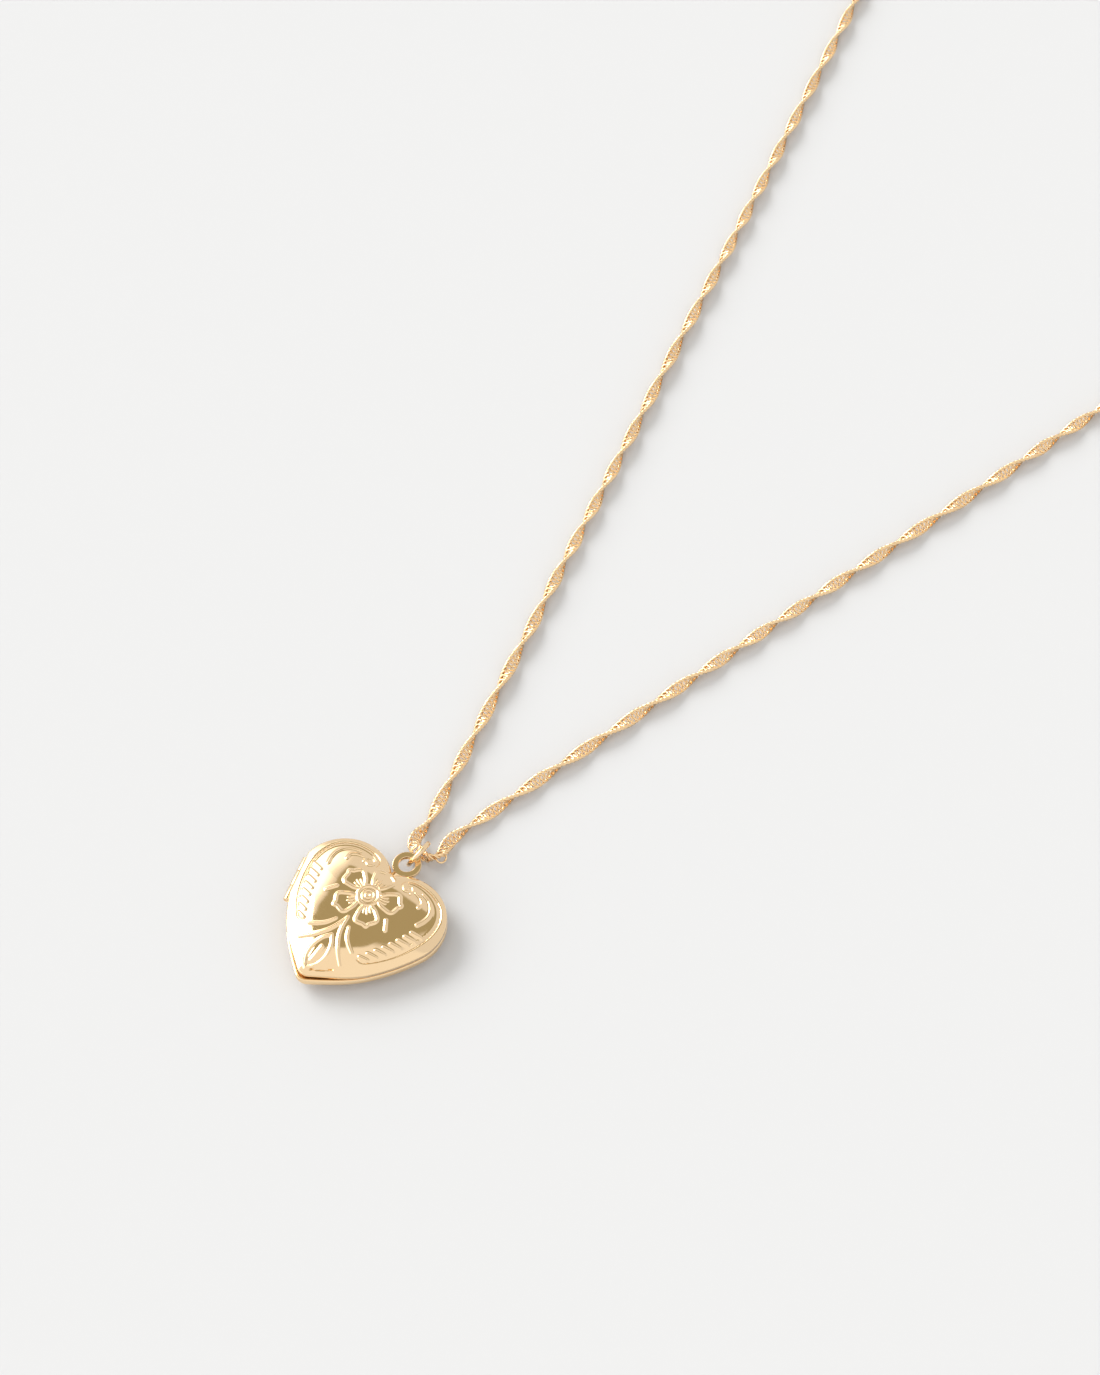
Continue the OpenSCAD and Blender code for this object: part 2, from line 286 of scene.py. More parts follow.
class Bench:
    """Turns bmeshes into finished pieces that ride on a body."""

    @staticmethod
    def finish(bm: bmesh.types.BMesh, name: str, mat: bpy.types.Material,
               sharp: float = 40.0) -> bpy.types.Object:
        """Writes a bmesh, drawn in millimetres, into an object in metres.

        Args:
            bm: The bmesh, freed here.
            name: Name of the piece.
            mat: Its material.
            sharp: Angle in degrees above which an edge stays crisp.

        Returns:
            The object, at the origin.
        """
        bmesh.ops.recalc_face_normals(bm, faces=bm.faces)
        bmesh.ops.scale(bm, vec=(MM, MM, MM), verts=bm.verts)
        mesh = bpy.data.meshes.new(name)
        for face in bm.faces:
            face.smooth = True
        bm.to_mesh(mesh)
        bm.free()
        mesh.set_sharp_from_angle(angle=math.radians(sharp))
        mesh.materials.append(mat)
        piece = bpy.data.objects.new(name, mesh)
        bpy.context.scene.collection.objects.link(piece)
        return piece

    @staticmethod
    def settle(piece: bpy.types.Object, body: Body, slot: str,
               nodes: Iterable[str]) -> bpy.types.Object:
        """Rides a piece on its body and hides what it stands for.

        Args:
            piece: The piece.
            body: The body that it rides on.
            slot: The record's material slot; not used.
            nodes: CAD nodes that it replaces.

        Returns:
            The same piece.
        """
        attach(piece, body.value)
        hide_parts(*nodes)
        LOG.info("%s: %d faces", piece.name, len(piece.data.polygons))
        return piece

    @staticmethod
    def loft(rings: Sequence[np.ndarray], ends: Ends) -> bmesh.types.BMesh:
        """Joins rings with the same number of points into one closed skin.

        Args:
            rings: Points of each ring in millimetres, one row a point.
            ends: Whether the first and last ring are capped or joined to each other.

        Returns:
            The bmesh.
        """
        bm = bmesh.new()
        spoke = bm.verts.layers.int.new("spoke")
        turn = bm.verts.layers.int.new("turn")
        first = bmesh.ops.create_circle(bm, segments=len(rings[0]), radius=1.0)["verts"]
        for index, vert in enumerate(first):
            vert[spoke] = index
        first_edges = list(bm.edges)
        edges = first_edges
        for number in range(1, len(rings)):
            made = bmesh.ops.extrude_edge_only(bm, edges=edges)["geom"]
            fresh = {g for g in made if isinstance(g, bmesh.types.BMVert)}
            for vert in fresh:
                vert[turn] = number
            edges = [g for g in made
                     if isinstance(g, bmesh.types.BMEdge) and g.verts[0] in fresh and g.verts[1] in fresh]
        for vert in bm.verts:
            vert.co = rings[vert[turn]][vert[spoke]]
        if ends is Ends.JOINED:
            bmesh.ops.bridge_loops(bm, edges=first_edges + edges)
        else:
            for loop in (first_edges, edges):
                caps = bmesh.ops.edgeloop_fill(bm, edges=loop)["faces"]
                bmesh.ops.poke(bm, faces=caps)
        return bm

    @staticmethod
    def boolean(piece: bpy.types.Object, tool: bmesh.types.BMesh, cut: Cut) -> None:
        """Cuts a tool out of a piece, or joins it on, and applies the result.

        Args:
            piece: The piece, in metres.
            tool: The tool, drawn in millimetres, freed here.
            cut: Which of the two.
        """
        helper = Bench.finish(tool, "tool", piece.data.materials[0])
        step = piece.modifiers.new("cut", "BOOLEAN")
        step.operation = cut.value
        step.solver = "MANIFOLD"
        step.object = helper
        depsgraph = bpy.context.evaluated_depsgraph_get()
        result = bpy.data.meshes.new_from_object(piece.evaluated_get(depsgraph))
        piece.modifiers.clear()
        old = piece.data
        piece.data = result
        result.name = piece.name
        bpy.data.meshes.remove(old)
        bpy.data.objects.remove(helper)


def add_to(whole: bmesh.types.BMesh, part: bmesh.types.BMesh) -> None:
    """Adds a part to a bmesh and frees the part.

    Args:
        whole: What it is added to.
        part: The part.
    """
    mesh = bpy.data.meshes.new("part")
    part.to_mesh(mesh)
    part.free()
    whole.from_mesh(mesh)
    bpy.data.meshes.remove(mesh)


def rod(start: Vector, end: Vector, radius: float, segments: int,
        rounding: float = 0.0) -> bmesh.types.BMesh:
    """A round bar between two points, in millimetres.

    Args:
        start: Middle of one end.
        end: Middle of the other end.
        radius: Radius of the bar.
        segments: Sides around it.
        rounding: Width of the bevel on both ends.

    Returns:
        The bmesh.
    """
    bm = bmesh.new()
    along = end - start
    turn = Vector((0, 0, 1)).rotation_difference(along).to_matrix().to_4x4()
    place = Matrix.Translation((start + end) / 2) @ turn
    bmesh.ops.create_cone(bm, cap_ends=True, segments=segments, radius1=radius, radius2=radius,
                          depth=along.length, matrix=place)
    if rounding:
        rims = [e for e in bm.edges if any(len(f.verts) > 4 for f in e.link_faces)]
        bmesh.ops.bevel(bm, geom=rims, offset=rounding, segments=3, profile=0.5,
                        affect="EDGES", material=-1)
    return bm


def wire_ring(centre: Vector, turn: Matrix, outer: float, wire: float, gap: float = 0.0,
              around: int = 96, sides: int = 20) -> bmesh.types.BMesh:
    """A ring of round wire, closed or with a fine butt joint, in millimetres.

    Args:
        centre: Middle of the ring.
        turn: Turns the ring's axis away from Z.
        outer: Outer diameter.
        wire: Diameter of the wire.
        gap: Width of the joint, 0 for a soldered ring.
        around: Steps around the ring.
        sides: Sides of the wire.

    Returns:
        The bmesh.
    """
    bm = bmesh.new()
    middle = (outer - wire) / 2
    place = Matrix.Translation((middle, 0, 0)) @ Matrix.Rotation(math.pi / 2, 4, "X")
    section = bmesh.ops.create_circle(bm, segments=sides, radius=wire / 2, matrix=place)["verts"]
    angle = 2 * math.pi - gap / middle
    geom = section + list(bm.edges)
    if gap:
        start = list(bm.edges)
        swept = bmesh.ops.spin(bm, geom=geom, axis=(0, 0, 1), cent=(0, 0, 0), angle=angle, steps=around)
        last = [g for g in swept["geom_last"] if isinstance(g, bmesh.types.BMEdge)]
        for loop in (start, last):
            bmesh.ops.edgeloop_fill(bm, edges=loop)
    else:
        bmesh.ops.spin(bm, geom=geom, axis=(0, 0, 1), cent=(0, 0, 0), angle=angle, steps=around,
                       use_merge=True)
        bmesh.ops.remove_doubles(bm, verts=bm.verts, dist=wire * 0.01)
    bmesh.ops.transform(bm, matrix=Matrix.Translation(centre) @ turn, verts=bm.verts)
    return bm


def node_box(node: str) -> tuple[Vector, Vector]:
    """Lowest and highest corner of a CAD node, in millimetres.

    Args:
        node: Name of the node.

    Returns:
        Both corners.
    """
    low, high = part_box(node)
    return low / MM, high / MM


def joint(name: str) -> tuple[Vector, Vector]:
    """Place, in millimetres, and direction of a joint's axis.

    Args:
        name: Name of the joint.

    Returns:
        A point on the axis, and the axis.
    """
    found = next(j for j in frame["record"]["behaviour"]["joints"] if j["name"] == name)
    return Vector(found["pos_m"]) / MM, Vector(found["axis"]).normalized()


# ---------------------------------------------------------------- heart outline


@dataclass(frozen=True)
class HeartOutline:
    """Outline of the case in its own millimetre frame, as arcs.

    Attributes:
        lobe_radius: Radius of each lobe.
        lobe_at: Centre of the right lobe.
        flank_radius: Radius of the long curve down to the tip.
        flank_from: Angle at which that curve starts, in degrees.
        tip_radius: Rounding of the tip.
        notch_round: Rounding of the notch.
        back_lift: How far the back cover's tip is drawn back.
        front_lift: How far the front cover's tip is drawn back.
        lift_from: Height below which a tip starts to be drawn back.
        lift_over: Length over which it is.
        hinge_middle: Middle of the straight cut for the hinge.
        hinge_lean: Lean of the hinge from the middle line, in degrees.
        hinge_flat: How far inside its middle the straight cut is made.
        crown: Middle of the dome.
        crown_round: Radius that the dome's level lines tend to.
        steps: Points along notch, lobe, flank and tip of one half.
    """

    lobe_radius: float = 5.8
    lobe_at: tuple[float, float] = (4.2, 2.9)
    flank_radius: float = 24.0
    flank_from: float = -22.0
    tip_radius: float = 1.5
    notch_round: float = 0.3
    back_lift: float = 0.4
    front_lift: float = 0.8
    lift_from: float = -5.0
    lift_over: float = 5.0
    hinge_middle: tuple[float, float] = (-8.88, -0.23)
    hinge_lean: float = 18.0
    hinge_flat: float = 0.05
    crown: tuple[float, float] = (0.0, 1.0)
    crown_round: float = 9.2
    steps: tuple[int, int, int, int] = (12, 154, 120, 24)

    @staticmethod
    def arc(centre: np.ndarray, radius: float, start: float, end: float, steps: int,
            first: int = 0) -> np.ndarray:
        """Points of an arc, angles in radians, leaving out those before first."""
        angles = start + (end - start) * np.arange(first, steps + 1) / steps
        return centre + radius * np.stack([np.cos(angles), np.sin(angles)], axis=1)

    def half(self, inset: float, tip_radius: float) -> np.ndarray:
        """Right half of the outline, from the notch to the tip.

        Args:
            inset: How far inside the outline it runs.
            tip_radius: Rounding of the tip at that inset.

        Returns:
            One row a point.
        """
        lobe = np.array(self.lobe_at)
        start = math.radians(self.flank_from)
        flank = lobe + (self.lobe_radius - self.flank_radius) * np.array([math.cos(start), math.sin(start)])
        notch = np.array([0, lobe[1] + math.sqrt((self.lobe_radius + self.notch_round) ** 2 - lobe[0] ** 2)])
        notch_turn = math.atan2(lobe[1] - notch[1], lobe[0])
        reach = self.flank_radius - inset - tip_radius
        tip = np.array([0, flank[1] - math.sqrt(reach ** 2 - flank[0] ** 2)])
        tip_from = math.atan2(*(tip - flank)[::-1])
        down = -math.pi / 2
        n_notch, n_lobe, n_flank, n_tip = self.steps
        return np.vstack([
            self.arc(notch, self.notch_round + inset, down, notch_turn, n_notch),
            self.arc(lobe, self.lobe_radius - inset, notch_turn + math.pi, start, n_lobe, 1),
            self.arc(flank, self.flank_radius - inset, start, tip_from, n_flank, 1),
            self.arc(tip, tip_radius, tip_from, down, n_tip, 1)])

    def points(self, inset: float, front: bool, tip_radius: float | None = None) -> np.ndarray:
        """The whole outline, cut straight at the hinge.

        Args:
            inset: How far inside the outline it runs.
            front: Whether it is the front cover's, whose tip is drawn back further.
            tip_radius: Rounding of the tip, worked out from the inset if left out.

        Returns:
            One row a point.
        """
        radius = max(self.tip_radius - inset, 0.4) if tip_radius is None else tip_radius
        right = self.half(inset, radius)
        both = np.vstack([right, right[-2:0:-1] * [-1, 1]])
        share = np.clip((self.lift_from - both[:, 1]) / self.lift_over, 0, 1)
        both[:, 1] += (self.front_lift if front else self.back_lift) * share * share * (3 - 2 * share)
        lean = math.radians(self.hinge_lean)
        out = np.array([-math.cos(lean), -math.sin(lean)])
        past = np.maximum(0, (both - self.hinge_middle) @ out + self.hinge_flat + inset)
        return both - past[:, None] * out

    def level(self, outline: np.ndarray, share: float) -> np.ndarray:
        """A level line of the dome, heart-shaped at the edge and round at the crown.

        Args:
            outline: The edge's outline.
            share: 1 at the edge, 0 at the crown.

        Returns:
            One row a point.
        """
        spoke = outline - self.crown
        length = np.linalg.norm(spoke, axis=1, keepdims=True)
        weight = share ** 1.5
        return self.crown + share * ((1 - weight) * self.crown_round * spoke / length + weight * spoke)


OUTLINE = HeartOutline()


# ---------------------------------------------------------------- raised pattern


def smooth_line(route: Sequence[np.ndarray], steps: Sequence[int], closed: bool = False
                ) -> list[np.ndarray]:
    """Points of a smooth curve through a route.

    Args:
        route: The points it passes, with the first repeated at the end where it is closed.
        steps: How many points each span is drawn with.
        closed: Whether it runs back into its start.

    Returns:
        The curve's points, the last of them the route's last.
    """
    last = len(route) - 1
    line = []
    for k in range(last):
        a = route[(k - 1) % last if closed else max(0, k - 1)]
        b = route[k]
        c = route[k + 1]
        d = route[(k + 2) % last if closed else min(last, k + 2)]
        for i in range(steps[k]):
            t = i / steps[k]
            line.append(0.5 * (2 * b + (c - a) * t + (2 * a - 5 * b + 4 * c - d) * t * t
                               + (3 * b - a - 3 * c + d) * t * t * t))
    return [*line, route[last]]


@dataclass(frozen=True)
class Stroke:
    """A raised or sunk line of the stamped pattern.

    Attributes:
        points: Its route in the heart's frame, in millimetres.
        half_width: Half its width at the widest.
        height: Its height, negative where it is sunk.
        ends: Share of the width left at its start and its end.
        closed: Whether it runs back into its start.
    """

    points: Sequence[tuple[float, float]]
    half_width: float
    height: float
    ends: tuple[float, float] = (1.0, 1.0)
    closed: bool = False

    def mirrored(self) -> "Stroke":
        """The same stroke on the other side of the middle line."""
        return Stroke([(-x, y) for x, y in self.points], self.half_width, self.height, self.ends,
                      self.closed)

    def smooth(self) -> np.ndarray:
        """The stroke's middle line, curved smoothly through its route.

        Returns:
            One row a point.
        """
        route = [np.array(p, float) for p in self.points]
        if len(route) == 2:
            return np.array(route)
        if self.closed:
            route.append(route[0])
        return np.array(smooth_line(route, [8] * (len(route) - 1), self.closed))

    def raise_on(self, where: np.ndarray) -> np.ndarray:
        """Height of this stroke at each point.

        Args:
            where: Points in the heart's frame, one row each.

        Returns:
            The height at each, 0 away from the stroke.
        """
        line = self.smooth()
        result = np.zeros(len(where))
        reach = self.half_width + 0.05
        inside = (where > line.min(0) - reach) & (where < line.max(0) + reach)
        near = np.flatnonzero(np.all(inside, axis=1))
        if not len(near):
            return result
        spot = where[near]
        best = np.full(len(near), np.inf)
        step = 1 / (len(line) - 1)
        for k in range(len(line) - 1):
            span = line[k + 1] - line[k]
            share = np.clip((spot - line[k]) @ span / (span @ span), 0, 1)
            away = np.linalg.norm(spot - line[k] - share[:, None] * span, axis=1)
            along = (k + share) * step
            taper = np.interp(along, [0, 0.35, 0.65, 1], [self.ends[0], 1, 1, self.ends[1]])
            best = np.minimum(best, away / (self.half_width * taper))
        result[near] = self.height * (0.5 + 0.5 * np.cos(math.pi * np.minimum(best, 1.0)))
        return result


@dataclass
class Pattern:
    """The flower, scrolls, feathers and leaf bud stamped into the front cover.

    Attributes:
        flower_at: Middle of the flower in the heart's frame.
        petals: How many petals it has.
        petal_side: One side of a petal, out from the middle and across.
        petal_tip: How far out its point is.
        stamens: Places of the stamens across a petal.
        rings: Radius, half width and height of each ring in the flower's middle.
        ring_points: Points on each of those rings.
        feathers: How many feather strokes each side has.
        line: Height of the main raised lines.
    """

    flower_at: tuple[float, float] = (0.0, 2.63)
    petals: int = 5
    petal_side: tuple[tuple[float, float], ...] = (
        (1.5, 0.5), (1.95, 0.86), (2.55, 1.12), (3.1, 1.3), (3.5, 1.16), (3.72, 0.72), (3.86, 0.36))
    petal_tip: float = 4.15
    stamens: tuple[float, ...] = (-0.62, -0.3, 0.0, 0.3, 0.62)
    rings: tuple[tuple[float, float, float], ...] = ((1.28, 0.3, 0.13), (0.72, 0.2, 0.1), (0.28, 0.26, 0.11))
    ring_points: int = 12
    feathers: int = 8
    line: float = 0.13

    def flower(self) -> list[Stroke]:
        """Petals with pointed tips, their short stamens, and the rings in the middle.

        Returns:
            The strokes.
        """
        far_side = [(out, -across) for out, across in reversed(self.petal_side)]
        outline = [*self.petal_side, (self.petal_tip, 0.0), *far_side]
        strokes = []
        for k in range(self.petals):
            heading = math.radians(90 + 360 * k / self.petals)
            strokes.append(Stroke([self.around(heading, out, across) for out, across in outline],
                                  0.3, self.line))
            for lean in self.stamens:
                root = self.around(heading, 1.65, 0.95 * lean)
                tip = self.around(heading, 2.5 - 0.6 * abs(lean), 1.35 * lean)
                strokes.append(Stroke([root, tip], 0.14, 0.09, (0.6, 1.0)))
        for radius, half_width, height in self.rings:
            ring = [self.around(2 * math.pi * k / self.ring_points, radius, 0)
                    for k in range(self.ring_points)]
            strokes.append(Stroke(ring, half_width, height, closed=True))
        return strokes

    def around(self, heading: float, out: float, across: float) -> tuple[float, float]:
        """A point given along and across a direction from the flower's middle."""
        c, s = math.cos(heading), math.sin(heading)
        return (self.flower_at[0] + out * c - across * s, self.flower_at[1] + out * s + across * c)

    def one_side(self) -> list[Stroke]:
        """Everything that lies on both sides of the middle line, drawn on the right.

        Returns:
            The strokes: border groove and line, long and short scroll, curl and its tail, dash,
            stem, leaf, bud and feathers.
        """
        strokes = [
            Stroke([(1.95, 6.3), (1.95, 6.85), (2.35, 7.4), (3.2, 7.75), (4.55, 7.83), (6.05, 7.55),
                    (7.42, 6.8), (8.32, 5.62), (8.74, 4.1), (8.66, 2.25), (8.05, 0.2), (7.2, -1.6),
                    (6.22, -3.05), (5.35, -4.05), (4.8, -4.42), (4.25, -4.42)], 0.2, -self.line, (0.6, 0.7)),
            Stroke([(2.25, 6.4), (2.25, 6.8), (2.6, 7.12), (3.35, 7.42), (4.55, 7.47), (5.85, 7.22),
                    (7.08, 6.54), (7.95, 5.45), (8.36, 4.05), (8.28, 2.3), (7.7, 0.3)],
                   0.2, 0.06, (0.6, 0.3)),
            Stroke([(4.72, 6.95), (5.8, 6.72), (6.62, 6.12), (7.1, 5.2), (7.1, 4.15), (6.84, 3.27)],
                   0.32, self.line, (0.35, 1.0)),
            Stroke([(3.95, 6.5), (4.9, 6.34), (5.5, 5.85), (5.5, 5.12)], 0.29, self.line, (0.4, 0.9)),
            Stroke([(2.85, 6.95), (2.45, 6.75), (2.42, 6.25), (2.8, 5.95), (3.2, 6.1), (3.15, 6.45)],
                   0.2, 0.11, (0.5, 1.0)),
            Stroke([(3.2, 6.85), (3.62, 6.5), (3.62, 6.0)], 0.17, 0.1, (0.6, 1.0)),
            Stroke([(4.52, 0.3), (3.76, 1.4)], 0.3, self.line),
            Stroke([(0.0, -1.05), (0.22, -2.2), (0.62, -3.35), (1.3, -4.42), (2.12, -5.38), (3.15, -6.28)],
                   0.31, 0.14, (0.9, 0.7)),
            Stroke([(0.98, -2.02), (1.55, -3.03), (2.34, -3.75), (3.3, -4.3)], 0.3, 0.14, (0.8, 0.9)),
            Stroke([(0.0, -3.95), (0.57, -4.65), (0.96, -5.56), (1.12, -6.58), (0.93, -7.6), (0.45, -8.4),
                    (0.0, -8.8)], 0.28, self.line)]
        for k in range(self.feathers):
            t = k / (self.feathers - 1)
            inner = (7.0 - 1.7 * t - t * t, 2.1 - 6.2 * t)
            outer = (inner[0] + 1.35 - 0.35 * t, inner[1] + 0.27)
            strokes.append(Stroke([inner, outer], 0.33, self.line, (1.0, 0.8)))
        return strokes

    def middle(self) -> list[Stroke]:
        """The vein of the leaf bud and the thumbnail groove beside the tip.

        Returns:
            The strokes.
        """
        vein = Stroke([(0, -5.75), (0, -7.65)], 0.33, self.line)
        nail_groove = Stroke([(0.55, -8.62), (1.55, -7.9), (2.75, -7.05)], 0.25, -0.22, (0.4, 0.4))
        return [vein, nail_groove]

    def heights(self, where: np.ndarray) -> np.ndarray:
        """Height of the whole pattern at each point.

        Args:
            where: Points in the heart's frame, one row each.

        Returns:
            The height at each point, in millimetres.
        """
        side = self.one_side()
        high = np.zeros(len(where))
        low = np.zeros(len(where))
        for stroke in self.flower() + side + [s.mirrored() for s in side] + self.middle():
            raised = stroke.raise_on(where)
            high = np.maximum(high, raised)
            low = np.minimum(low, raised)
        return high + low


# ---------------------------------------------------------------- case


@dataclass
class Case:
    """Both stamped covers, their frames and windows, the hinge, bail and catch.

    Attributes:
        finishes: The finishes to dress it with.
        sheet: Thickness of the stamped sheet.
        front_edge: Height of the front cover's upright edge.
        back_edge: Height of the back cover's upright edge.
        front_flat: Share of the front dome, from its middle, that is level.
        back_flat: Share of the back dome that is level.
        dome_power: How square the dome is.
        relief_room: Room left above the dome for the raised pattern.
        fillet: Radius between an upright edge and its dome.
        front_reach: Angle of the front cover's fillet, in degrees.
        back_reach: Angle of the back cover's fillet, in degrees.
        back_fillet_lift: How far the back fillet starts above the dome's edge.
        rim_round: Rounding of the rims' outer corners.
        rim_inner: Rounding of the rims' inner corners.
        outer_rings: Level lines of the front dome's outside.
        inner_rings: Level lines of its inside.
        back_rings: Level lines of the back dome, inside and outside.
        knuckle_radius: Outer radius of the knuckles.
        knuckle_round: Rounding of the knuckles' ends.
        groove_play: Room between a knuckle and the cover that it passes.
        half_middle: Half the length of the middle knuckle.
        half_hinge: Half the length of the hinge.
        knuckle_gap: Gap between two knuckles.
        pin_radius: Radius of the hinge pin.
        pin_play: Room between the pin and the front cover's knuckles.
        bail_radius: Outer radius of the bail.
        bail_hole: Radius of its hole.
        bail_round: Rounding of its edges.
        tab_half: Half the width of the bail's tab.
        ledge: Height of the ledge that the back window lies under.
        lip_inset: How far inside the outline the back frame's lip stands.
        lip_wall: Thickness of that lip.
        lip_tip: Rounding of its tip.
        opening_tip: Rounding of the tip of every opening.
        back_opening: How far inside the outline the back frame opens.
        front_frame_inset: How far inside the outline the front frame starts.
        front_opening: How far inside the outline it opens.
        back_film_inset: How far inside the outline the back window starts.
        front_film_inset: How far inside the outline the front window starts.
        seat_play: Room between the back cover and its frame.
        seat_tip: Rounding of the tip of the back frame's seat.
        frame_round: Rounding of the frames' edges.
        catch_round: Rounding of the catch bead's ends.
    """

    finishes: Finishes
    sheet: float = 0.4
    front_edge: float = 0.6
    back_edge: float = 0.9
    front_flat: float = 0.12
    back_flat: float = 0.35
    dome_power: float = 2.6
    relief_room: float = 0.1
    fillet: float = 0.25
    front_reach: float = 67.0
    back_reach: float = 60.0
    back_fillet_lift: float = 0.13
    rim_round: float = 0.05
    rim_inner: float = 0.04
    outer_rings: int = 128
    inner_rings: int = 10
    back_rings: int = 24
    knuckle_radius: float = 0.45
    knuckle_round: float = 0.05
    groove_play: float = 0.06
    half_middle: float = 1.0
    half_hinge: float = 3.0
    knuckle_gap: float = 0.1
    pin_radius: float = 0.2
    pin_play: float = 0.04
    bail_radius: float = 1.75
    bail_hole: float = 1.0
    bail_round: float = 0.07
    tab_half: float = 0.6
    ledge: float = 0.25
    lip_inset: float = 0.55
    lip_wall: float = 0.4
    lip_tip: float = 0.9
    opening_tip: float = 0.6
    back_opening: float = 1.7
    front_frame_inset: float = 1.05
    front_opening: float = 2.1
    back_film_inset: float = 1.1
    front_film_inset: float = 1.7
    seat_play: float = 0.02
    seat_tip: float = 1.0
    frame_round: float = 0.06
    catch_round: float = 0.06

    def __post_init__(self) -> None:
        """Reads the places that the frame gives."""
        low, high = node_box("back_cover")
        tip = OUTLINE.points(0.0, False)[:, 1].min()
        right = OUTLINE.points(0.0, False)[:, 0].max()
        self.heart_at = Vector((high.x - right, low.y - tip, 0.0))
        self.back_top = high.z
        self.front_bottom = node_box("front_cover")[0].z
        self.front_top = node_box("front_cover")[1].z
        self.hinge_at, self.hinge_axis = joint("case_hinge")

    def ring(self, points: np.ndarray, height: float | np.ndarray) -> np.ndarray:
        """Sets an outline at a height, in the part's frame."""
        return np.column_stack([points + self.heart_at.xy, np.broadcast_to(height, len(points))])

    def dome(self, share: float, flat: float) -> float:
        """Height of the dome as a share of its rise."""
        return 1 - max(0.0, (share - flat) / (1 - flat)) ** self.dome_power

    def along_hinge(self, start: float, end: float, radius: float,
                    rounding: float = 0.0) -> bmesh.types.BMesh:
        """A bar on the hinge axis between two distances from its middle."""
        up = -self.hinge_axis
        return rod(self.hinge_at + up * start, self.hinge_at + up * end, radius, 40, rounding)

    def clear_hinge(self, piece: bpy.types.Object, spans: Iterable[tuple[float, float, float]]) -> None:
        """Cuts the knuckles' grooves out of a cover.

        Args:
            piece: The cover.
            spans: Start, end and radius of each groove, along the hinge.
        """
        for start, end, radius in spans:
            Bench.boolean(piece, self.along_hinge(start, end, radius), Cut.AWAY)

    def rim(self, front: bool, rim_at: float, edge_at: float) -> list[np.ndarray]:
        """The rim of a cover, from its inner corner to its outer one.

        Args:
            front: Whether it is the front cover's.
            rim_at: Height of the rim itself.
            edge_at: Height that the outer corner's rounding ends at.

        Returns:
            The rings of the rim's flat and of its outer corner.
        """
        return [self.ring(OUTLINE.points(self.sheet - self.rim_inner, front), rim_at),
                self.ring(OUTLINE.points(self.rim_round, front), rim_at),
                self.ring(OUTLINE.points(0.0, front), edge_at)]

    def front_cover(self) -> bpy.types.Object:
        """Models the front cover with its raised pattern.

        Returns:
            The piece.
        """
        base = self.front_bottom
        edge_top = base + self.front_edge
        rise = self.front_top - base - self.front_edge - self.relief_room
        outer = OUTLINE.points(0.0, True)
        inner = OUTLINE.points(self.sheet, True)
        rings = []
        for k in range(1, self.inner_rings + 1):
            share = k / self.inner_rings
            height = edge_top - self.sheet + rise * self.dome(share, self.front_flat)
            rings.append(self.ring(OUTLINE.level(inner, share), height))
        rings.append(self.ring(inner, base + self.rim_inner))
        rings += self.rim(True, base, base + self.rim_round)
        reach = math.radians(self.front_reach)
        first_share = 1 - self.fillet * (1 - math.cos(reach)) / OUTLINE.crown_round
        start = edge_top + rise * self.dome(first_share, self.front_flat) - self.fillet * math.sin(reach)
        rings += self.fillet_rings(True, reach, 5, start, self.fillet)
        pattern = Pattern()
        for k in range(self.outer_rings, 0, -1):
            share = first_share * k / self.outer_rings
            points = OUTLINE.level(outer, share)
            height = edge_top + rise * self.dome(share, self.front_flat)
            rings.append(self.ring(points, height + pattern.heights(points) + self.waviness(points)))
        piece = Bench.finish(Bench.loft(rings, Ends.CAPPED), "front_cover_shell", self.finishes.polished, 50)
        play = self.groove_play
        near = self.half_middle + self.knuckle_gap - play
        far = self.half_hinge + play
        middle = self.half_middle + play
        self.clear_hinge(piece, ((near, far, self.knuckle_radius), (-far, -near, self.knuckle_radius),
                                 (-middle, middle, self.knuckle_radius + play)))
        return Bench.settle(piece, Body.FRONT, "gold_polished", ["front_cover"])

    def fillet_rings(self, front: bool, reach: float, steps: int, start: float, radius: float
                     ) -> list[np.ndarray]:
        """The rounded turn from a cover's upright edge towards its dome.

        Args:
            front: Whether it is the front cover's.
            reach: Angle of the turn, in radians.
            steps: Rings in it.
            start: Height that it starts at.
            radius: Its radius, negative where the dome lies below the edge.

        Returns:
            The rings.
        """
        rings = []
        for k in range(steps):
            angle = reach * k / steps
            points = OUTLINE.points(self.fillet * (1 - math.cos(angle)), front)
            rings.append(self.ring(points, start + radius * math.sin(angle)))
        return rings

    @staticmethod
    def waviness(points: np.ndarray) -> np.ndarray:
        """The slow waves that stamping and polishing leave in a thin sheet."""
        x, y = points.T
        return 0.003 * (np.sin(1.9 * x + 0.7 * y) + np.sin(2.3 * y - 0.9 * x + 1.0) - 1.0)

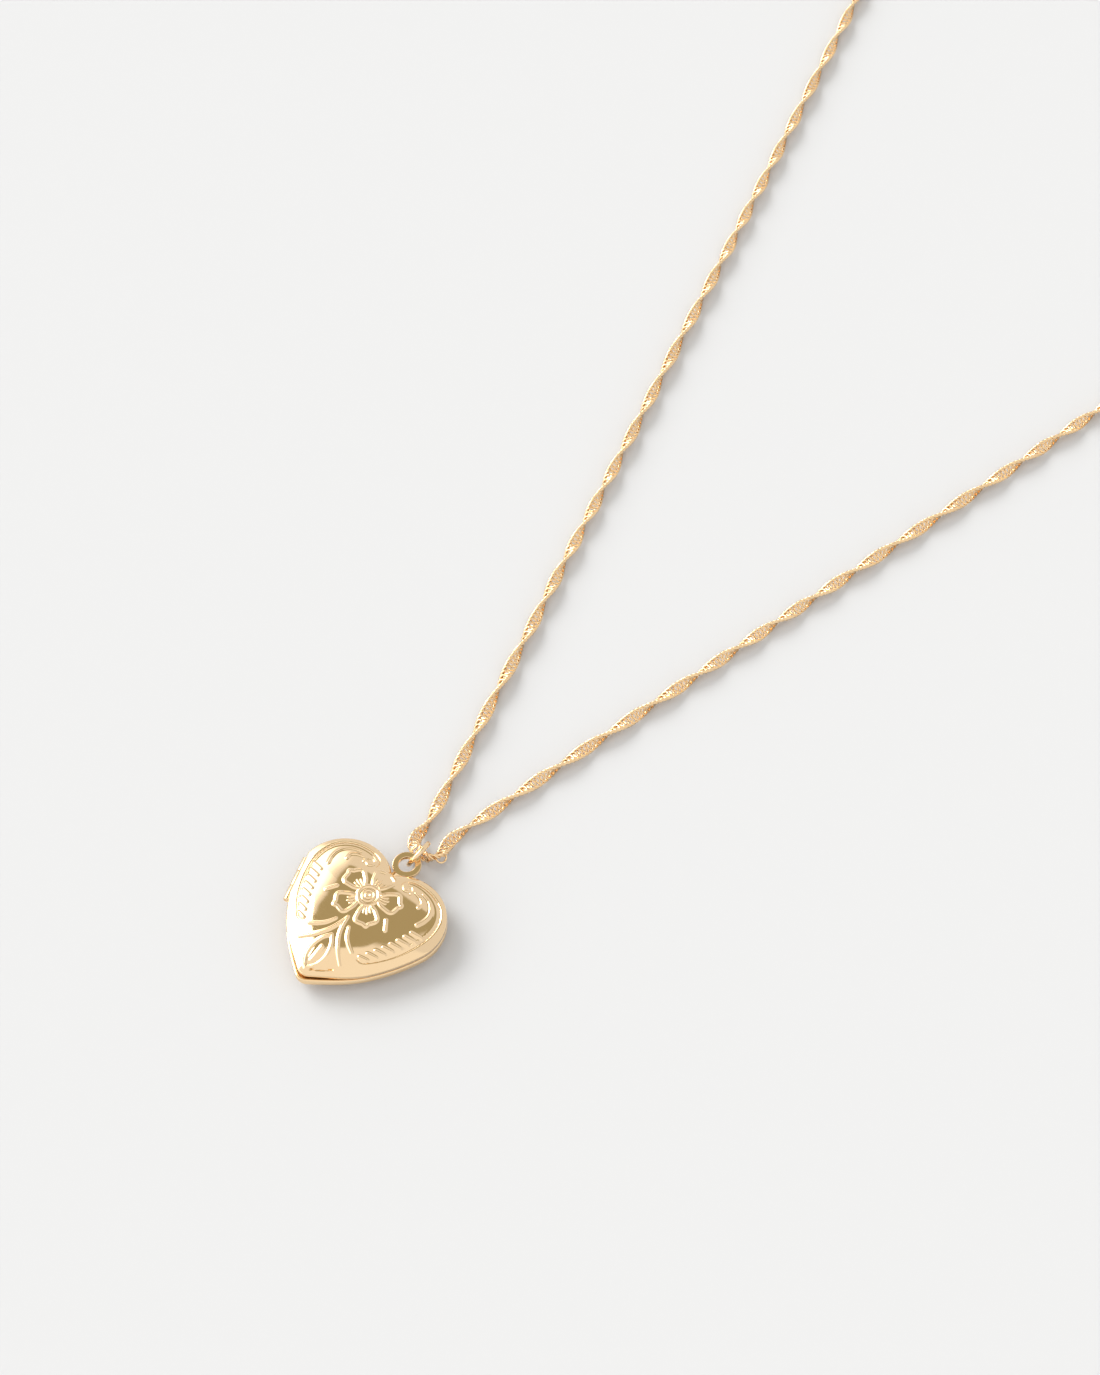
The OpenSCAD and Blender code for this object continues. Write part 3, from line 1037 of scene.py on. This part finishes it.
    def back_cover(self) -> bpy.types.Object:
        """Models the plain back cover.

        Returns:
            The piece.
        """
        depth = self.back_top - self.back_edge
        outer = OUTLINE.points(0.0, False)
        inner = OUTLINE.points(self.sheet, False)
        shares = [self.back_flat + (1 - self.back_flat) * k / self.back_rings
                  for k in range(self.back_rings + 1)]
        rings = []
        for share in shares:
            height = depth + self.sheet - depth * self.dome(share, self.back_flat)
            rings.append(self.ring(OUTLINE.level(inner, share * 0.999), height))
        rings.append(self.ring(inner, self.back_top - self.rim_inner))
        rings += self.rim(False, self.back_top, self.back_top - self.rim_round)
        rings += self.fillet_rings(False, math.radians(self.back_reach), 6, depth + self.back_fillet_lift,
                                   -self.fillet)
        for share in reversed(shares[:-1]):
            height = depth * (1 - self.dome(share, self.back_flat))
            rings.append(self.ring(OUTLINE.level(outer, share), height))
        piece = Bench.finish(Bench.loft(rings, Ends.CAPPED), "back_cover_shell", self.finishes.polished, 50)
        wide = self.knuckle_radius + self.groove_play
        near = self.half_middle - 0.02
        far = self.half_hinge + self.knuckle_gap
        self.clear_hinge(piece, ((-self.half_middle, self.half_middle, self.knuckle_radius),
                                 (near, far, wide), (-far, -near, wide)))
        return Bench.settle(piece, Body.ROOT, "gold_polished", ["back_cover"])

    def well(self, inset: float, height: float) -> np.ndarray:
        """A ring of the frames' openings and ledges, with their tight tip."""
        return self.ring(OUTLINE.points(inset, True, self.opening_tip), height)

    def lip(self, inset: float, height: float) -> np.ndarray:
        """A ring of the outside of the back frame's lip."""
        return self.ring(OUTLINE.points(inset, True, self.lip_tip), height)

    def back_frame(self) -> bpy.types.Object:
        """Models the back photo frame, with the lip that the front cover closes over.

        Returns:
            The piece.
        """
        low, high = node_box("back_photo_frame")
        soft = self.frame_round
        seat = OUTLINE.points(self.sheet + self.seat_play, False, self.seat_tip)
        inside = self.lip_inset + self.lip_wall
        rings = [self.ring(seat, low.z), self.ring(seat, self.back_top),
                 self.lip(self.lip_inset, self.back_top), self.lip(self.lip_inset, high.z - soft),
                 self.lip(self.lip_inset + soft, high.z), self.well(inside - soft, high.z),
                 self.well(inside, high.z - soft), self.well(inside, low.z + self.ledge),
                 self.well(self.back_opening, low.z + self.ledge), self.well(self.back_opening, low.z)]
        piece = Bench.finish(Bench.loft(rings, Ends.JOINED), "back_frame", self.finishes.inner)
        return Bench.settle(piece, Body.ROOT, "gold_inner", ["back_photo_frame"])

    def front_frame(self) -> bpy.types.Object:
        """Models the front photo frame.

        Returns:
            The piece.
        """
        low, high = node_box("front_photo_frame")
        soft = self.frame_round
        out, hole = self.front_frame_inset, self.front_opening
        rings = [self.well(out, high.z), self.well(out, low.z + soft), self.well(out + soft, low.z),
                 self.well(hole - soft, low.z), self.well(hole, low.z + soft), self.well(hole, high.z)]
        piece = Bench.finish(Bench.loft(rings, Ends.JOINED), "front_frame", self.finishes.inner)
        return Bench.settle(piece, Body.FRONT, "gold_inner", ["front_photo_frame"])

    def window(self, node: str, inset: float, body: Body) -> bpy.types.Object:
        """Models the clear window of one frame.

        Args:
            node: The window's CAD node.
            inset: How far inside the outline it starts.
            body: The body that it rides on.

        Returns:
            The piece.
        """
        low, high = node_box(node)
        film = Bench.loft([self.well(inset, low.z), self.well(inset, high.z)], Ends.CAPPED)
        piece = Bench.finish(film, node + "_film", self.finishes.film)
        return Bench.settle(piece, body, "window_film", [node])

    def knuckles(self, name: str, node: str, body: Body, spans: Iterable[tuple[float, float]],
                 bore: float) -> bpy.types.Object:
        """Models the rolled knuckles of one cover.

        Args:
            name: Name of the piece.
            node: Their CAD node.
            body: The body that they ride on.
            spans: Start and end of each, along the hinge.
            bore: Radius of their bore.

        Returns:
            The piece.
        """
        bm = bmesh.new()
        for start, end in spans:
            add_to(bm, self.along_hinge(start, end, self.knuckle_radius, self.knuckle_round))
        piece = Bench.finish(bm, name, self.finishes.polished)
        past = self.half_hinge + 1
        Bench.boolean(piece, self.along_hinge(-past, past, bore), Cut.AWAY)
        return Bench.settle(piece, body, "gold_polished", [node])

    def hinge(self) -> None:
        """Models the three rolled knuckles and the pin through them."""
        near, far, middle = self.half_middle + self.knuckle_gap, self.half_hinge, self.half_middle
        self.knuckles("front_barrels", "front_knuckles", Body.FRONT, ((near, far), (-far, -near)),
                      self.pin_radius + self.pin_play)
        self.knuckles("back_barrel", "back_knuckle", Body.ROOT, ((-middle, middle),), self.pin_radius)
        pin = Bench.finish(self.along_hinge(-far, far, self.pin_radius, 0.06), "hinge_wire",
                           self.finishes.wire)
        Bench.settle(pin, Body.ROOT, "gold_wire", ["hinge_pin"])

    def bail(self) -> bpy.types.Object:
        """Models the flat bail ring with its tab and softened edges.

        Returns:
            The piece.
        """
        low, high = node_box("bail")
        centre = Vector(((low.x + high.x) / 2, high.y - self.bail_radius, 0))
        mid, thick = (low.z + high.z) / 2, high.z - low.z
        wide = self.bail_radius - self.bail_hole
        section_at = self.bail_hole + wide / 2
        place = Matrix.Translation((section_at, 0, mid))
        bm = bmesh.new()
        bmesh.ops.create_grid(bm, x_segments=1, y_segments=1, size=0.5,
                              matrix=place @ Matrix.Rotation(math.pi / 2, 4, "X"))
        bmesh.ops.scale(bm, vec=(wide, 1, thick), verts=bm.verts,
                        space=Matrix.Translation((-section_at, 0, -mid)))
        bmesh.ops.delete(bm, geom=list(bm.faces), context="FACES_ONLY")
        bmesh.ops.spin(bm, geom=list(bm.verts) + list(bm.edges), axis=(0, 0, 1), cent=(0, 0, 0),
                       angle=2 * math.pi, steps=96, use_merge=True)
        bmesh.ops.remove_doubles(bm, verts=bm.verts, dist=0.001)
        rims = []
        for edge in bm.edges:
            a, b = (vert.co for vert in edge.verts)
            if abs(a.z - b.z) < 1e-4 and abs(a.xy.length - b.xy.length) < 1e-3:
                rims.append(edge)
        bmesh.ops.bevel(bm, geom=rims, offset=self.bail_round, segments=3, profile=0.5,
                        affect="EDGES", material=-1)
        bmesh.ops.translate(bm, vec=centre, verts=bm.verts)
        piece = Bench.finish(bm, "bail_ring", self.finishes.polished, 35)
        tab = bmesh.new()
        end = centre.y - self.bail_hole - 0.1
        bmesh.ops.create_cube(tab, size=1.0)
        bmesh.ops.scale(tab, vec=(2 * self.tab_half, end - low.y, thick - 0.02), verts=tab.verts)
        bmesh.ops.translate(tab, vec=(centre.x, (end + low.y) / 2, mid), verts=tab.verts)
        Bench.boolean(piece, tab, Cut.ON)
        return Bench.settle(piece, Body.ROOT, "gold_polished", ["bail"])

    def catch(self) -> bpy.types.Object:
        """Models the bead that clicks the case shut.

        Returns:
            The piece.
        """
        low, high = node_box("catch_bead")
        middle = (low + high) / 2
        half = Vector(((high.x - low.x) / 2, 0, 0))
        bead = rod(middle - half, middle + half, (high.z - low.z) / 2, 32, self.catch_round)
        piece = Bench.finish(bead, "catch_pip", self.finishes.polished)
        return Bench.settle(piece, Body.ROOT, "gold_polished", ["catch_bead"])

    def make(self) -> None:
        """Makes every piece of the case."""
        self.front_cover()
        self.back_cover()
        self.back_frame()
        self.front_frame()
        self.window("back_window", self.back_film_inset, Body.ROOT)
        self.window("front_window", self.front_film_inset, Body.FRONT)
        self.hinge()
        self.bail()
        self.catch()


# ---------------------------------------------------------------- chain


@dataclass
class Chain:
    """One half of the twisted curb chain, from the jump ring to its last link.

    Attributes:
        name: Name of the piece.
        route: Where it lies before the coil, in millimetres.
        coil_at: Centre of its coil.
        turning: 1 where it winds counter-clockwise, -1 clockwise.
        start_angle: Where on the coil it joins, in degrees.
        nodes: CAD nodes that it replaces.
        first_turn: How the first link is turned about the chain, in degrees.
        round_link_at: Where along it a round link hangs, if one does.
        length: Its length in millimetres.
        route_points: Points of its line for each millimetre of the route.
        coil_radius: Radius of the coil's outermost turn.
        coil_drop: How much smaller each next turn is.
        coil_step: Angle between two points of the coil, in radians.
        coil_points: Most points that the coil may take.
        height: Height of the coil's middle above the floor.
        pitch: Distance between two links.
        link_long: Length of a link.
        link_wide: Width of a link.
        link_lift: How far a link is bent out of its plane.
        link_sides: Sides of a link's wire.
        link_steps: Steps round a link.
        wire: Diameter of the wire.
        width: Width of the chain.
        twist: Length of half a turn of the twist.
        twist_drift: How far the twist strays from even, in radians.
        drift_over: Length that it strays over.
        aim_over: Half the stretch of line that a link points along.
        round_link: Outer diameter and wire of the round link.
        round_link_off: Where the round link hangs from the chain's middle.
        round_link_lean: Its lean, in radians.
    """

    name: str
    route: Sequence[tuple[float, float, float]]
    coil_at: tuple[float, float]
    turning: int
    start_angle: float
    nodes: tuple[str, str]
    first_turn: float
    round_link_at: float | None = None
    length: float = 250.0
    route_points: float = 3.0
    coil_radius: float = 10.6
    coil_drop: float = 1.75
    coil_step: float = 0.033
    coil_points: int = 600
    height: float = 0.9
    pitch: float = 0.66
    link_long: float = 1.78
    link_wide: float = 1.4
    link_lift: float = 0.3
    link_sides: int = 5
    link_steps: int = 12
    wire: float = 0.3
    width: float = 1.7
    twist: float = 6.9
    twist_drift: float = 0.35
    drift_over: float = 9.0
    aim_over: float = 0.4
    round_link: tuple[float, float] = (1.6, 0.24)
    round_link_off: tuple[float, float, float] = (0.35, -0.1, 0.0)
    round_link_lean: float = 0.5

    def __post_init__(self) -> None:
        """Lays the line that the chain follows."""
        whole = self.centreline()
        keep = int(np.searchsorted(self.run_along(whole), self.length))
        self.line = whole[:keep + 1]
        self.run = self.run_along(self.line)

    @staticmethod
    def run_along(line: np.ndarray) -> np.ndarray:
        """Distance along a line to each of its points."""
        return np.concatenate([[0], np.cumsum(np.linalg.norm(np.diff(line, axis=0), axis=1))])

    def spot(self, at: float) -> Vector:
        """The point at a distance along the chain."""
        return Vector([float(np.interp(at, self.run, self.line[:, axis])) for axis in range(3)])

    def centreline(self) -> np.ndarray:
        """The route and more of the coil than the chain needs.

        Returns:
            One row a point, about a third of a millimetre apart.
        """
        route = [np.array(p, float) for p in self.route]
        steps = [max(2, round(float(np.linalg.norm(b - a)) * self.route_points))
                 for a, b in zip(route, route[1:])]
        line = smooth_line(route, steps)
        start = math.radians(self.start_angle)
        for k in range(1, self.coil_points):
            swept = k * self.coil_step
            radius = self.coil_radius - self.coil_drop * swept / (2 * math.pi)
            angle = start + self.turning * swept
            line.append(np.array([self.coil_at[0] + radius * math.cos(angle),
                                  self.coil_at[1] + radius * math.sin(angle), self.height]))
        return np.array(line)

    def link(self) -> bpy.types.Mesh:
        """One bent link, about its own middle, with its length along X.

        Returns:
            Its mesh, in millimetres.
        """
        bm = bmesh.new()
        place = Matrix.Translation((1, 0, 0)) @ Matrix.Rotation(math.pi / 2, 4, "X")
        bmesh.ops.create_circle(bm, segments=self.link_sides, radius=self.wire / 2, matrix=place)
        bmesh.ops.spin(bm, geom=list(bm.verts) + list(bm.edges), axis=(0, 0, 1), cent=(0, 0, 0),
                       angle=2 * math.pi, steps=self.link_steps, use_merge=True)
        bmesh.ops.remove_doubles(bm, verts=bm.verts, dist=0.01)
        half_long = self.link_long / 2
        half_wide = self.link_wide / 2
        for vert in bm.verts:
            turn = math.atan2(vert.co.y, vert.co.x)
            c, s = math.cos(turn), math.sin(turn)
            outward = Vector((c / half_long, s / half_wide, 0)).normalized()
            spine = Vector((half_long * c, half_wide * s, self.link_lift * math.sin(2 * turn)))
            vert.co = spine + outward * (vert.co.xy.length - 1) + Vector((0, 0, vert.co.z))
        bmesh.ops.recalc_face_normals(bm, faces=bm.faces)
        mesh = bpy.data.meshes.new("link")
        bm.to_mesh(mesh)
        bm.free()
        return mesh

    def place_at(self, at: float) -> Matrix:
        """How a link lies on the chain.

        Args:
            at: Distance of its middle along the chain.

        Returns:
            Its place.
        """
        along = (self.spot(at + self.aim_over) - self.spot(at - self.aim_over)).normalized()
        across = Vector((0, 0, 1)).cross(along).normalized()
        up = along.cross(across)
        turn = (math.radians(self.first_turn) + math.pi * at / self.twist
                + self.twist_drift * math.sin(at / self.drift_over))
        side = across * math.cos(turn) + up * math.sin(turn)
        place = Matrix((along, side, along.cross(side))).transposed().to_4x4()
        place.translation = self.spot(at)
        return place

    def make(self, mat: bpy.types.Material) -> bpy.types.Object:
        """Models the chain link by link and lays it along its line.

        Args:
            mat: The chain's finish.

        Returns:
            The piece.
        """
        link = self.link()
        bm = bmesh.new()
        for k in range(int(self.run[-1] / self.pitch)):
            laid = link.copy()
            laid.transform(self.place_at((k + 0.5) * self.pitch))
            bm.from_mesh(laid)
            bpy.data.meshes.remove(laid)
        bpy.data.meshes.remove(link)
        if self.round_link_at is not None:
            hung_at = self.spot(self.round_link_at) + Vector(self.round_link_off)
            add_to(bm, wire_ring(hung_at, Matrix.Rotation(self.round_link_lean, 4, "Y"), *self.round_link,
                                 around=40, sides=10))
        piece = Bench.finish(bm, self.name, mat, 100)
        return Bench.settle(piece, Body.ROOT, "gold_chain", self.nodes)


LEFT_ROUTE = [(0.2, 10.2, 1.75), (-1, 10.5, 1.75), (-1.8, 11.8, 1.3), (-2, 13.8, 0.9), (-2.7, 16.8, 0.9),
              (-5.2, 26, 0.9), (-7.8, 35.5, 0.9), (-10.3, 44.8, 0.9), (-12.9, 54, 0.9), (-16.4, 67, 0.9),
              (-20.1, 80.5, 0.9), (-24, 94.5, 0.9), (-27.9, 109, 0.9), (-31.3, 121.3, 0.9),
              (-34.7, 133.5, 0.9), (-38.8, 148.1, 0.9), (-43, 163.2, 0.9), (-46, 174.1, 0.9)]
RIGHT_ROUTE = [(0.2, 10.2, 1.75), (1.4, 10.4, 1.7), (2, 11.8, 1.3), (1.6, 13.8, 0.9), (1.9, 16, 0.9),
               (4, 25, 0.9), (6.9, 37, 0.9), (10.7, 52.4, 0.9), (14.6, 68.4, 0.9), (18.7, 84.8, 0.9),
               (22.9, 101.8, 0.9), (26, 114.6, 0.9), (27.2, 119.4, 0.9), (29.5, 129, 0.9)]


# ---------------------------------------------------------------- rings and clasp


@dataclass
class Fittings:
    """The jump ring, the rings on the chain's ends and the sprung clasp.

    Attributes:
        finishes: The finishes to dress them with.
        jump_lean: Lean of the jump ring from upright, in degrees.
        clasp_turn: Direction of the clasp, in degrees.
        clasp_ring_lean: Lean of the ring on the clasp from upright, in degrees.
        jump_od: Outer diameter of the jump ring and the end ring.
        jump_wire: Diameter of their wire.
        clasp_ring_od: Outer diameter of the ring on the clasp.
        clasp_ring_wire: Diameter of its wire.
        joint_gap: Width of the butt joint in a ring.
        clasp_gap: Width of it in the ring on the clasp.
        body_soft: Rounding of the clasp body's edges.
        lever_soft: Rounding of the lever's edges.
        pin_soft: Rounding of the pin's ends.
    """

    finishes: Finishes
    jump_lean: float = 22.0
    clasp_turn: float = 128.3
    clasp_ring_lean: float = 45.0
    jump_od: float = 4.0
    jump_wire: float = 0.6
    clasp_ring_od: float = 3.1
    clasp_ring_wire: float = 0.5
    joint_gap: float = 0.05
    clasp_gap: float = 0.04
    body_soft: float = 0.22
    lever_soft: float = 0.1
    pin_soft: float = 0.05

    def ring(self, node: str, name: str, turn: Matrix, outer: float, wire: float, gap: float,
             body: Body) -> bpy.types.Object:
        """Models one wire ring in its node's place.

        Args:
            node: The CAD node.
            name: Name of the piece.
            turn: Turns the ring's axis away from Z.
            outer: Outer diameter.
            wire: Diameter of the wire.
            gap: Width of its joint.
            body: The body that it rides on.

        Returns:
            The piece.
        """
        low, high = node_box(node)
        piece = Bench.finish(wire_ring((low + high) / 2, turn, outer, wire, gap), name, self.finishes.wire)
        return Bench.settle(piece, body, "gold_wire", [node])

    def softened(self, node: str, name: str, body: Body, soft: float, slot: str,
                 mat: bpy.types.Material) -> bpy.types.Object:
        """Models a cast piece from its node, with its edges rounded over.

        Args:
            node: The CAD node.
            name: Name of the piece.
            body: The body that it rides on.
            soft: Width of the rounding in millimetres.
            slot: The record's material slot.
            mat: Its finish.

        Returns:
            The piece.
        """
        bm = bmesh.new()
        bm.from_mesh(frame["nodes"][node].data)
        bmesh.ops.scale(bm, vec=(1 / MM,) * 3, verts=bm.verts)
        bmesh.ops.remove_doubles(bm, verts=bm.verts, dist=0.002)
        bmesh.ops.dissolve_limit(bm, angle_limit=math.radians(1), verts=bm.verts, edges=bm.edges)
        edges = [e for e in bm.edges if len(e.link_faces) == 2 and e.calc_face_angle(0) > math.radians(50)]
        bmesh.ops.bevel(bm, geom=edges, offset=soft, segments=3, profile=0.5, affect="EDGES",
                        clamp_overlap=True, material=-1)
        piece = Bench.finish(bm, name, mat)
        return Bench.settle(piece, body, slot, [node])

    def make(self) -> tuple[list[bpy.types.Object], list[bpy.types.Object]]:
        """Makes every ring and the clasp.

        Returns:
            What is on the left chain's end, and what is on the right one's.
        """
        lean = Matrix.Rotation(math.radians(90 + self.jump_lean), 4, "Y")
        self.ring("jump_ring", "jump_ring_wire", lean, self.jump_od, self.jump_wire, self.joint_gap,
                  Body.RING)
        turn = Matrix.Rotation(math.radians(self.clasp_turn + 90), 4, "Z")
        tilt = Matrix.Rotation(math.radians(90 - self.clasp_ring_lean), 4, "Y")
        clasp_ring = self.ring("clasp_ring", "clasp_loop", turn @ tilt, self.clasp_ring_od,
                               self.clasp_ring_wire, self.clasp_gap, Body.ROOT)
        end_ring = self.ring("end_ring", "end_loop", Matrix.Identity(4), self.jump_od, self.jump_wire,
                             self.joint_gap, Body.ROOT)
        body = self.softened("clasp_body", "clasp_claw", Body.ROOT, self.body_soft, "gold_polished",
                             self.finishes.polished)
        lever = self.softened("clasp_lever", "clasp_trigger_arm", Body.LEVER, self.lever_soft,
                              "gold_polished", self.finishes.polished)
        pin = self.softened("clasp_pin", "clasp_rivet", Body.ROOT, self.pin_soft, "gold_wire",
                            self.finishes.wire)
        spring = frame["nodes"]["clasp_spring"]
        spring.data.materials.clear()
        spring.data.materials.append(self.finishes.spring)
        return [clasp_ring, body, lever, pin, spring], [end_ring]


# ---------------------------------------------------------------- studio


@dataclass(frozen=True)
class Studio:
    """Pale floor, a soft white room with a dark panel overhead, one soft light and the camera.

    The room is drawn on the sky as a ceiling at unit height. Across is measured on it to the right
    and along away from the tip. Each edge is given by where it starts to show and where it is full.

    Attributes:
        target: Point on the floor that the camera looks at, in millimetres.
        distance: Distance from there to the camera, in millimetres.
        rise: Angle of the camera above the floor, in degrees.
        turn: Direction that the camera looks in, in degrees to the left of +Y.
        lens: Focal length for a 36 mm sensor.
        floor_tone: Grey of the floor, linear.
        room: Colour of the room.
        low_room: Brightness of the low front of the room.
        panel: Colour of the panel overhead.
        wall: Brightness of the left wall.
        sun: Strength of the soft light.
        sun_from: Direction that it comes from.
        sun_wide: How wide it is, in degrees.
        horizon: Least height of a direction that the ceiling is worked out for.
        near_slant: Slope of the panel's near edge, past slant_from across.
        slant_from: Where across that slope starts.
        slant_most: How far along it goes at most.
        left_lean: Slope of the panel's left edge, past lean_from along.
        lean_from: Where along that slope starts.
        left_step: How far the left edge steps in.
        step_over: Stretch along that it steps in over.
        panel_left: Left edge of the panel.
        panel_right: Right edge of the panel.
        panel_near: Near edge of the panel.
        panel_far: Far edge of the panel.
        wall_right: Right edge of the bright wall.
        wall_left: Left edge of the bright wall.
        wall_far: Far edge of the bright wall.
        wall_foot: Lower edge of the bright wall, as the height of a direction.
        front_edge: Edge of the low front of the room.
    """

    target: tuple[float, float, float] = (-3.13, 39.44, 0.0)
    distance: float = 362.03
    rise: float = 56.33
    turn: float = 38.30
    lens: float = 75.8
    floor_tone: float = 0.645
    room: tuple[float, float, float] = (0.86, 0.86, 0.87)
    low_room: float = 1.02
    panel: tuple[float, float, float] = (0.44, 0.405, 0.27)
    wall: float = 2.5
    sun: float = 1.35
    sun_from: tuple[float, float, float] = (-0.98, -0.05, 0.85)
    sun_wide: float = 34.0
    horizon: float = 0.02
    near_slant: float = 0.9
    slant_from: float = -0.08
    slant_most: float = -0.23
    left_lean: float = 0.4
    lean_from: float = 0.4
    left_step: float = 0.09
    step_over: tuple[float, float] = (0.0, 0.25)
    panel_left: tuple[float, float] = (-0.755, -0.715)
    panel_right: tuple[float, float] = (0.14, 0.08)
    panel_near: tuple[float, float] = (0.14, 0.19)
    panel_far: tuple[float, float] = (0.77, 0.72)
    wall_right: tuple[float, float] = (-0.74, -0.96)
    wall_left: tuple[float, float] = (-4.5, -3.0)
    wall_far: tuple[float, float] = (1.3, 0.75)
    wall_foot: tuple[float, float] = (0.05, 0.2)
    front_edge: tuple[float, float] = (0.20, 0.10)

    def camera(self) -> None:
        """Places the camera."""
        data = bpy.data.cameras.new("camera")
        data.lens = self.lens
        data.sensor_width = 36.0
        data.clip_start = 0.01
        data.clip_end = 10.0
        cam = bpy.data.objects.new("camera", data)
        turn, rise = math.radians(self.turn), math.radians(self.rise)
        ahead = Vector((-math.sin(turn) * math.cos(rise), math.cos(turn) * math.cos(rise),
                        -math.sin(rise)))
        cam.location = (Vector(self.target) - ahead * self.distance) * MM
        cam.rotation_euler = ahead.to_track_quat("-Z", "Y").to_euler()
        bpy.context.scene.collection.objects.link(cam)
        bpy.context.scene.camera = cam

    def floor(self) -> None:
        """Lays the pale floor."""
        bm = bmesh.new()
        bmesh.ops.create_grid(bm, x_segments=2, y_segments=2, size=2.0)
        mesh = bpy.data.meshes.new("floor")
        bm.to_mesh(mesh)
        bm.free()
        mat = bpy.data.materials.new("pale_floor")
        mat.use_nodes = True
        shader = mat.node_tree.nodes["Principled BSDF"]
        shader.inputs["Base Color"].default_value = (*(self.floor_tone,) * 3, 1)
        shader.inputs["Roughness"].default_value = 0.9
        shader.inputs["Specular IOR Level"].default_value = 0.1
        mesh.materials.append(mat)
        floor = bpy.data.objects.new("floor", mesh)
        bpy.context.scene.collection.objects.link(floor)

    def sky(self) -> None:
        """Builds the room: white walls, a dark panel overhead and a bright wall on the left."""
        world = bpy.data.worlds.new("room")
        bpy.context.scene.world = world
        world.use_nodes = True
        tree = world.node_tree
        coord = tree.nodes.new("ShaderNodeTexCoord")
        parts = tree.nodes.new("ShaderNodeSeparateXYZ")
        tree.links.new(coord.outputs["Generated"], parts.inputs[0])

        def maths(operation: str, first: bpy.types.NodeSocket, second: bpy.types.NodeSocket | float
                  ) -> bpy.types.NodeSocket:
            """Adds one arithmetic node.

            Args:
                operation: What it does.
                first: Its first value.
                second: Its second value.

            Returns:
                The socket with the result.
            """
            node = tree.nodes.new("ShaderNodeMath")
            node.operation = operation
            tree.links.new(first, node.inputs[0])
            if isinstance(second, float):
                node.inputs[1].default_value = second
            else:
                tree.links.new(second, node.inputs[1])
            return node.outputs[0]

        def edge(value: bpy.types.NodeSocket, span: tuple[float, float]) -> bpy.types.NodeSocket:
            """Adds a soft edge.

            Args:
                value: What the edge is measured along.
                span: Where it starts to show and where it is full, in either order.

            Returns:
                The socket with 0 before the edge and 1 past it.
            """
            node = tree.nodes.new("ShaderNodeMapRange")
            node.interpolation_type = "SMOOTHSTEP"
            node.inputs["From Min"].default_value, node.inputs["From Max"].default_value = span
            tree.links.new(value, node.inputs["Value"])
            return node.outputs["Result"]

        def overlap(*masks: bpy.types.NodeSocket) -> bpy.types.NodeSocket:
            """Multiplies masks together.

            Args:
                masks: The masks.

            Returns:
                The socket with the mask where all of them show.
            """
            shared = masks[0]
            for mask in masks[1:]:
                shared = maths("MULTIPLY", shared, mask)
            return shared

        def mixed(amount: bpy.types.NodeSocket, base: bpy.types.NodeSocket | tuple, top: Sequence[float]
                  ) -> bpy.types.NodeSocket:
            """Lays one colour over another.

            Args:
                amount: Where the upper colour shows.
                base: The lower colour.
                top: The upper colour.

            Returns:
                The socket with the colour.
            """
            node = tree.nodes.new("ShaderNodeMix")
            node.data_type = "RGBA"
            tree.links.new(amount, node.inputs[0])
            if isinstance(base, tuple):
                node.inputs[6].default_value = (*base, 1)
            else:
                tree.links.new(base, node.inputs[6])
            node.inputs[7].default_value = (*top, 1)
            return node.outputs[2]

        above = maths("MAXIMUM", parts.outputs["Z"], self.horizon)
        across = maths("DIVIDE", parts.outputs["X"], above)
        along = maths("DIVIDE", parts.outputs["Y"], above)
        past_slant = maths("MINIMUM", maths("SUBTRACT", across, self.slant_from), 0.0)
        slant = maths("MAXIMUM", maths("MULTIPLY", past_slant, self.near_slant), self.slant_most)
        raised = maths("SUBTRACT", along, slant)
        past_lean = maths("MAXIMUM", maths("SUBTRACT", along, self.lean_from), 0.0)
        leaned = maths("ADD", across, maths("MULTIPLY", past_lean, self.left_lean))
        inside = maths("SUBTRACT", leaned, maths("MULTIPLY", edge(along, self.step_over), self.left_step))
        panel = overlap(edge(inside, self.panel_left), edge(across, self.panel_right),
                        edge(raised, self.panel_near), edge(along, self.panel_far))
        wall = overlap(edge(inside, self.wall_right), edge(across, self.wall_left),
                       edge(along, self.wall_far), edge(parts.outputs["Z"], self.wall_foot))
        lit = mixed(edge(raised, self.front_edge), self.room, [self.low_room] * 3)
        lit = mixed(wall, lit, [self.wall] * 3)
        lit = mixed(panel, lit, self.panel)
        tree.links.new(lit, tree.nodes["Background"].inputs["Color"])

    def key_light(self) -> None:
        """Sets the wide soft light that casts the shadows."""
        data = bpy.data.lights.new("key", "SUN")
        data.energy = self.sun
        data.angle = math.radians(self.sun_wide)
        light = bpy.data.objects.new("key", data)
        light.rotation_euler = (-Vector(self.sun_from)).to_track_quat("-Z", "Y").to_euler()
        bpy.context.scene.collection.objects.link(light)

    def make(self) -> None:
        """Makes the whole studio."""
        bpy.context.scene.view_settings.view_transform = "Standard"
        self.camera()
        self.floor()
        self.sky()
        self.key_light()


def main() -> None:
    """Makes the locket piece by piece."""
    logging.basicConfig(level=logging.INFO, format="%(message)s")
    Studio().make()
    finishes = Finishes()
    left = Chain("chain_left_links", LEFT_ROUTE, (-56.2, 171.3), 1, 15.6,
                 ("chain_left", "chain_left_coil"), 125.0)
    right = Chain("chain_right_links", RIGHT_ROUTE, (39.8, 126.5), -1, 166.5,
                  ("chain_right", "chain_right_coil"), 60.0, round_link_at=2.6)
    left_piece = left.make(finishes.chain)
    right_piece = right.make(finishes.chain)
    on_left, on_right = Fittings(finishes).make()
    Case(finishes).make()


if __name__ == "__main__":
    main()
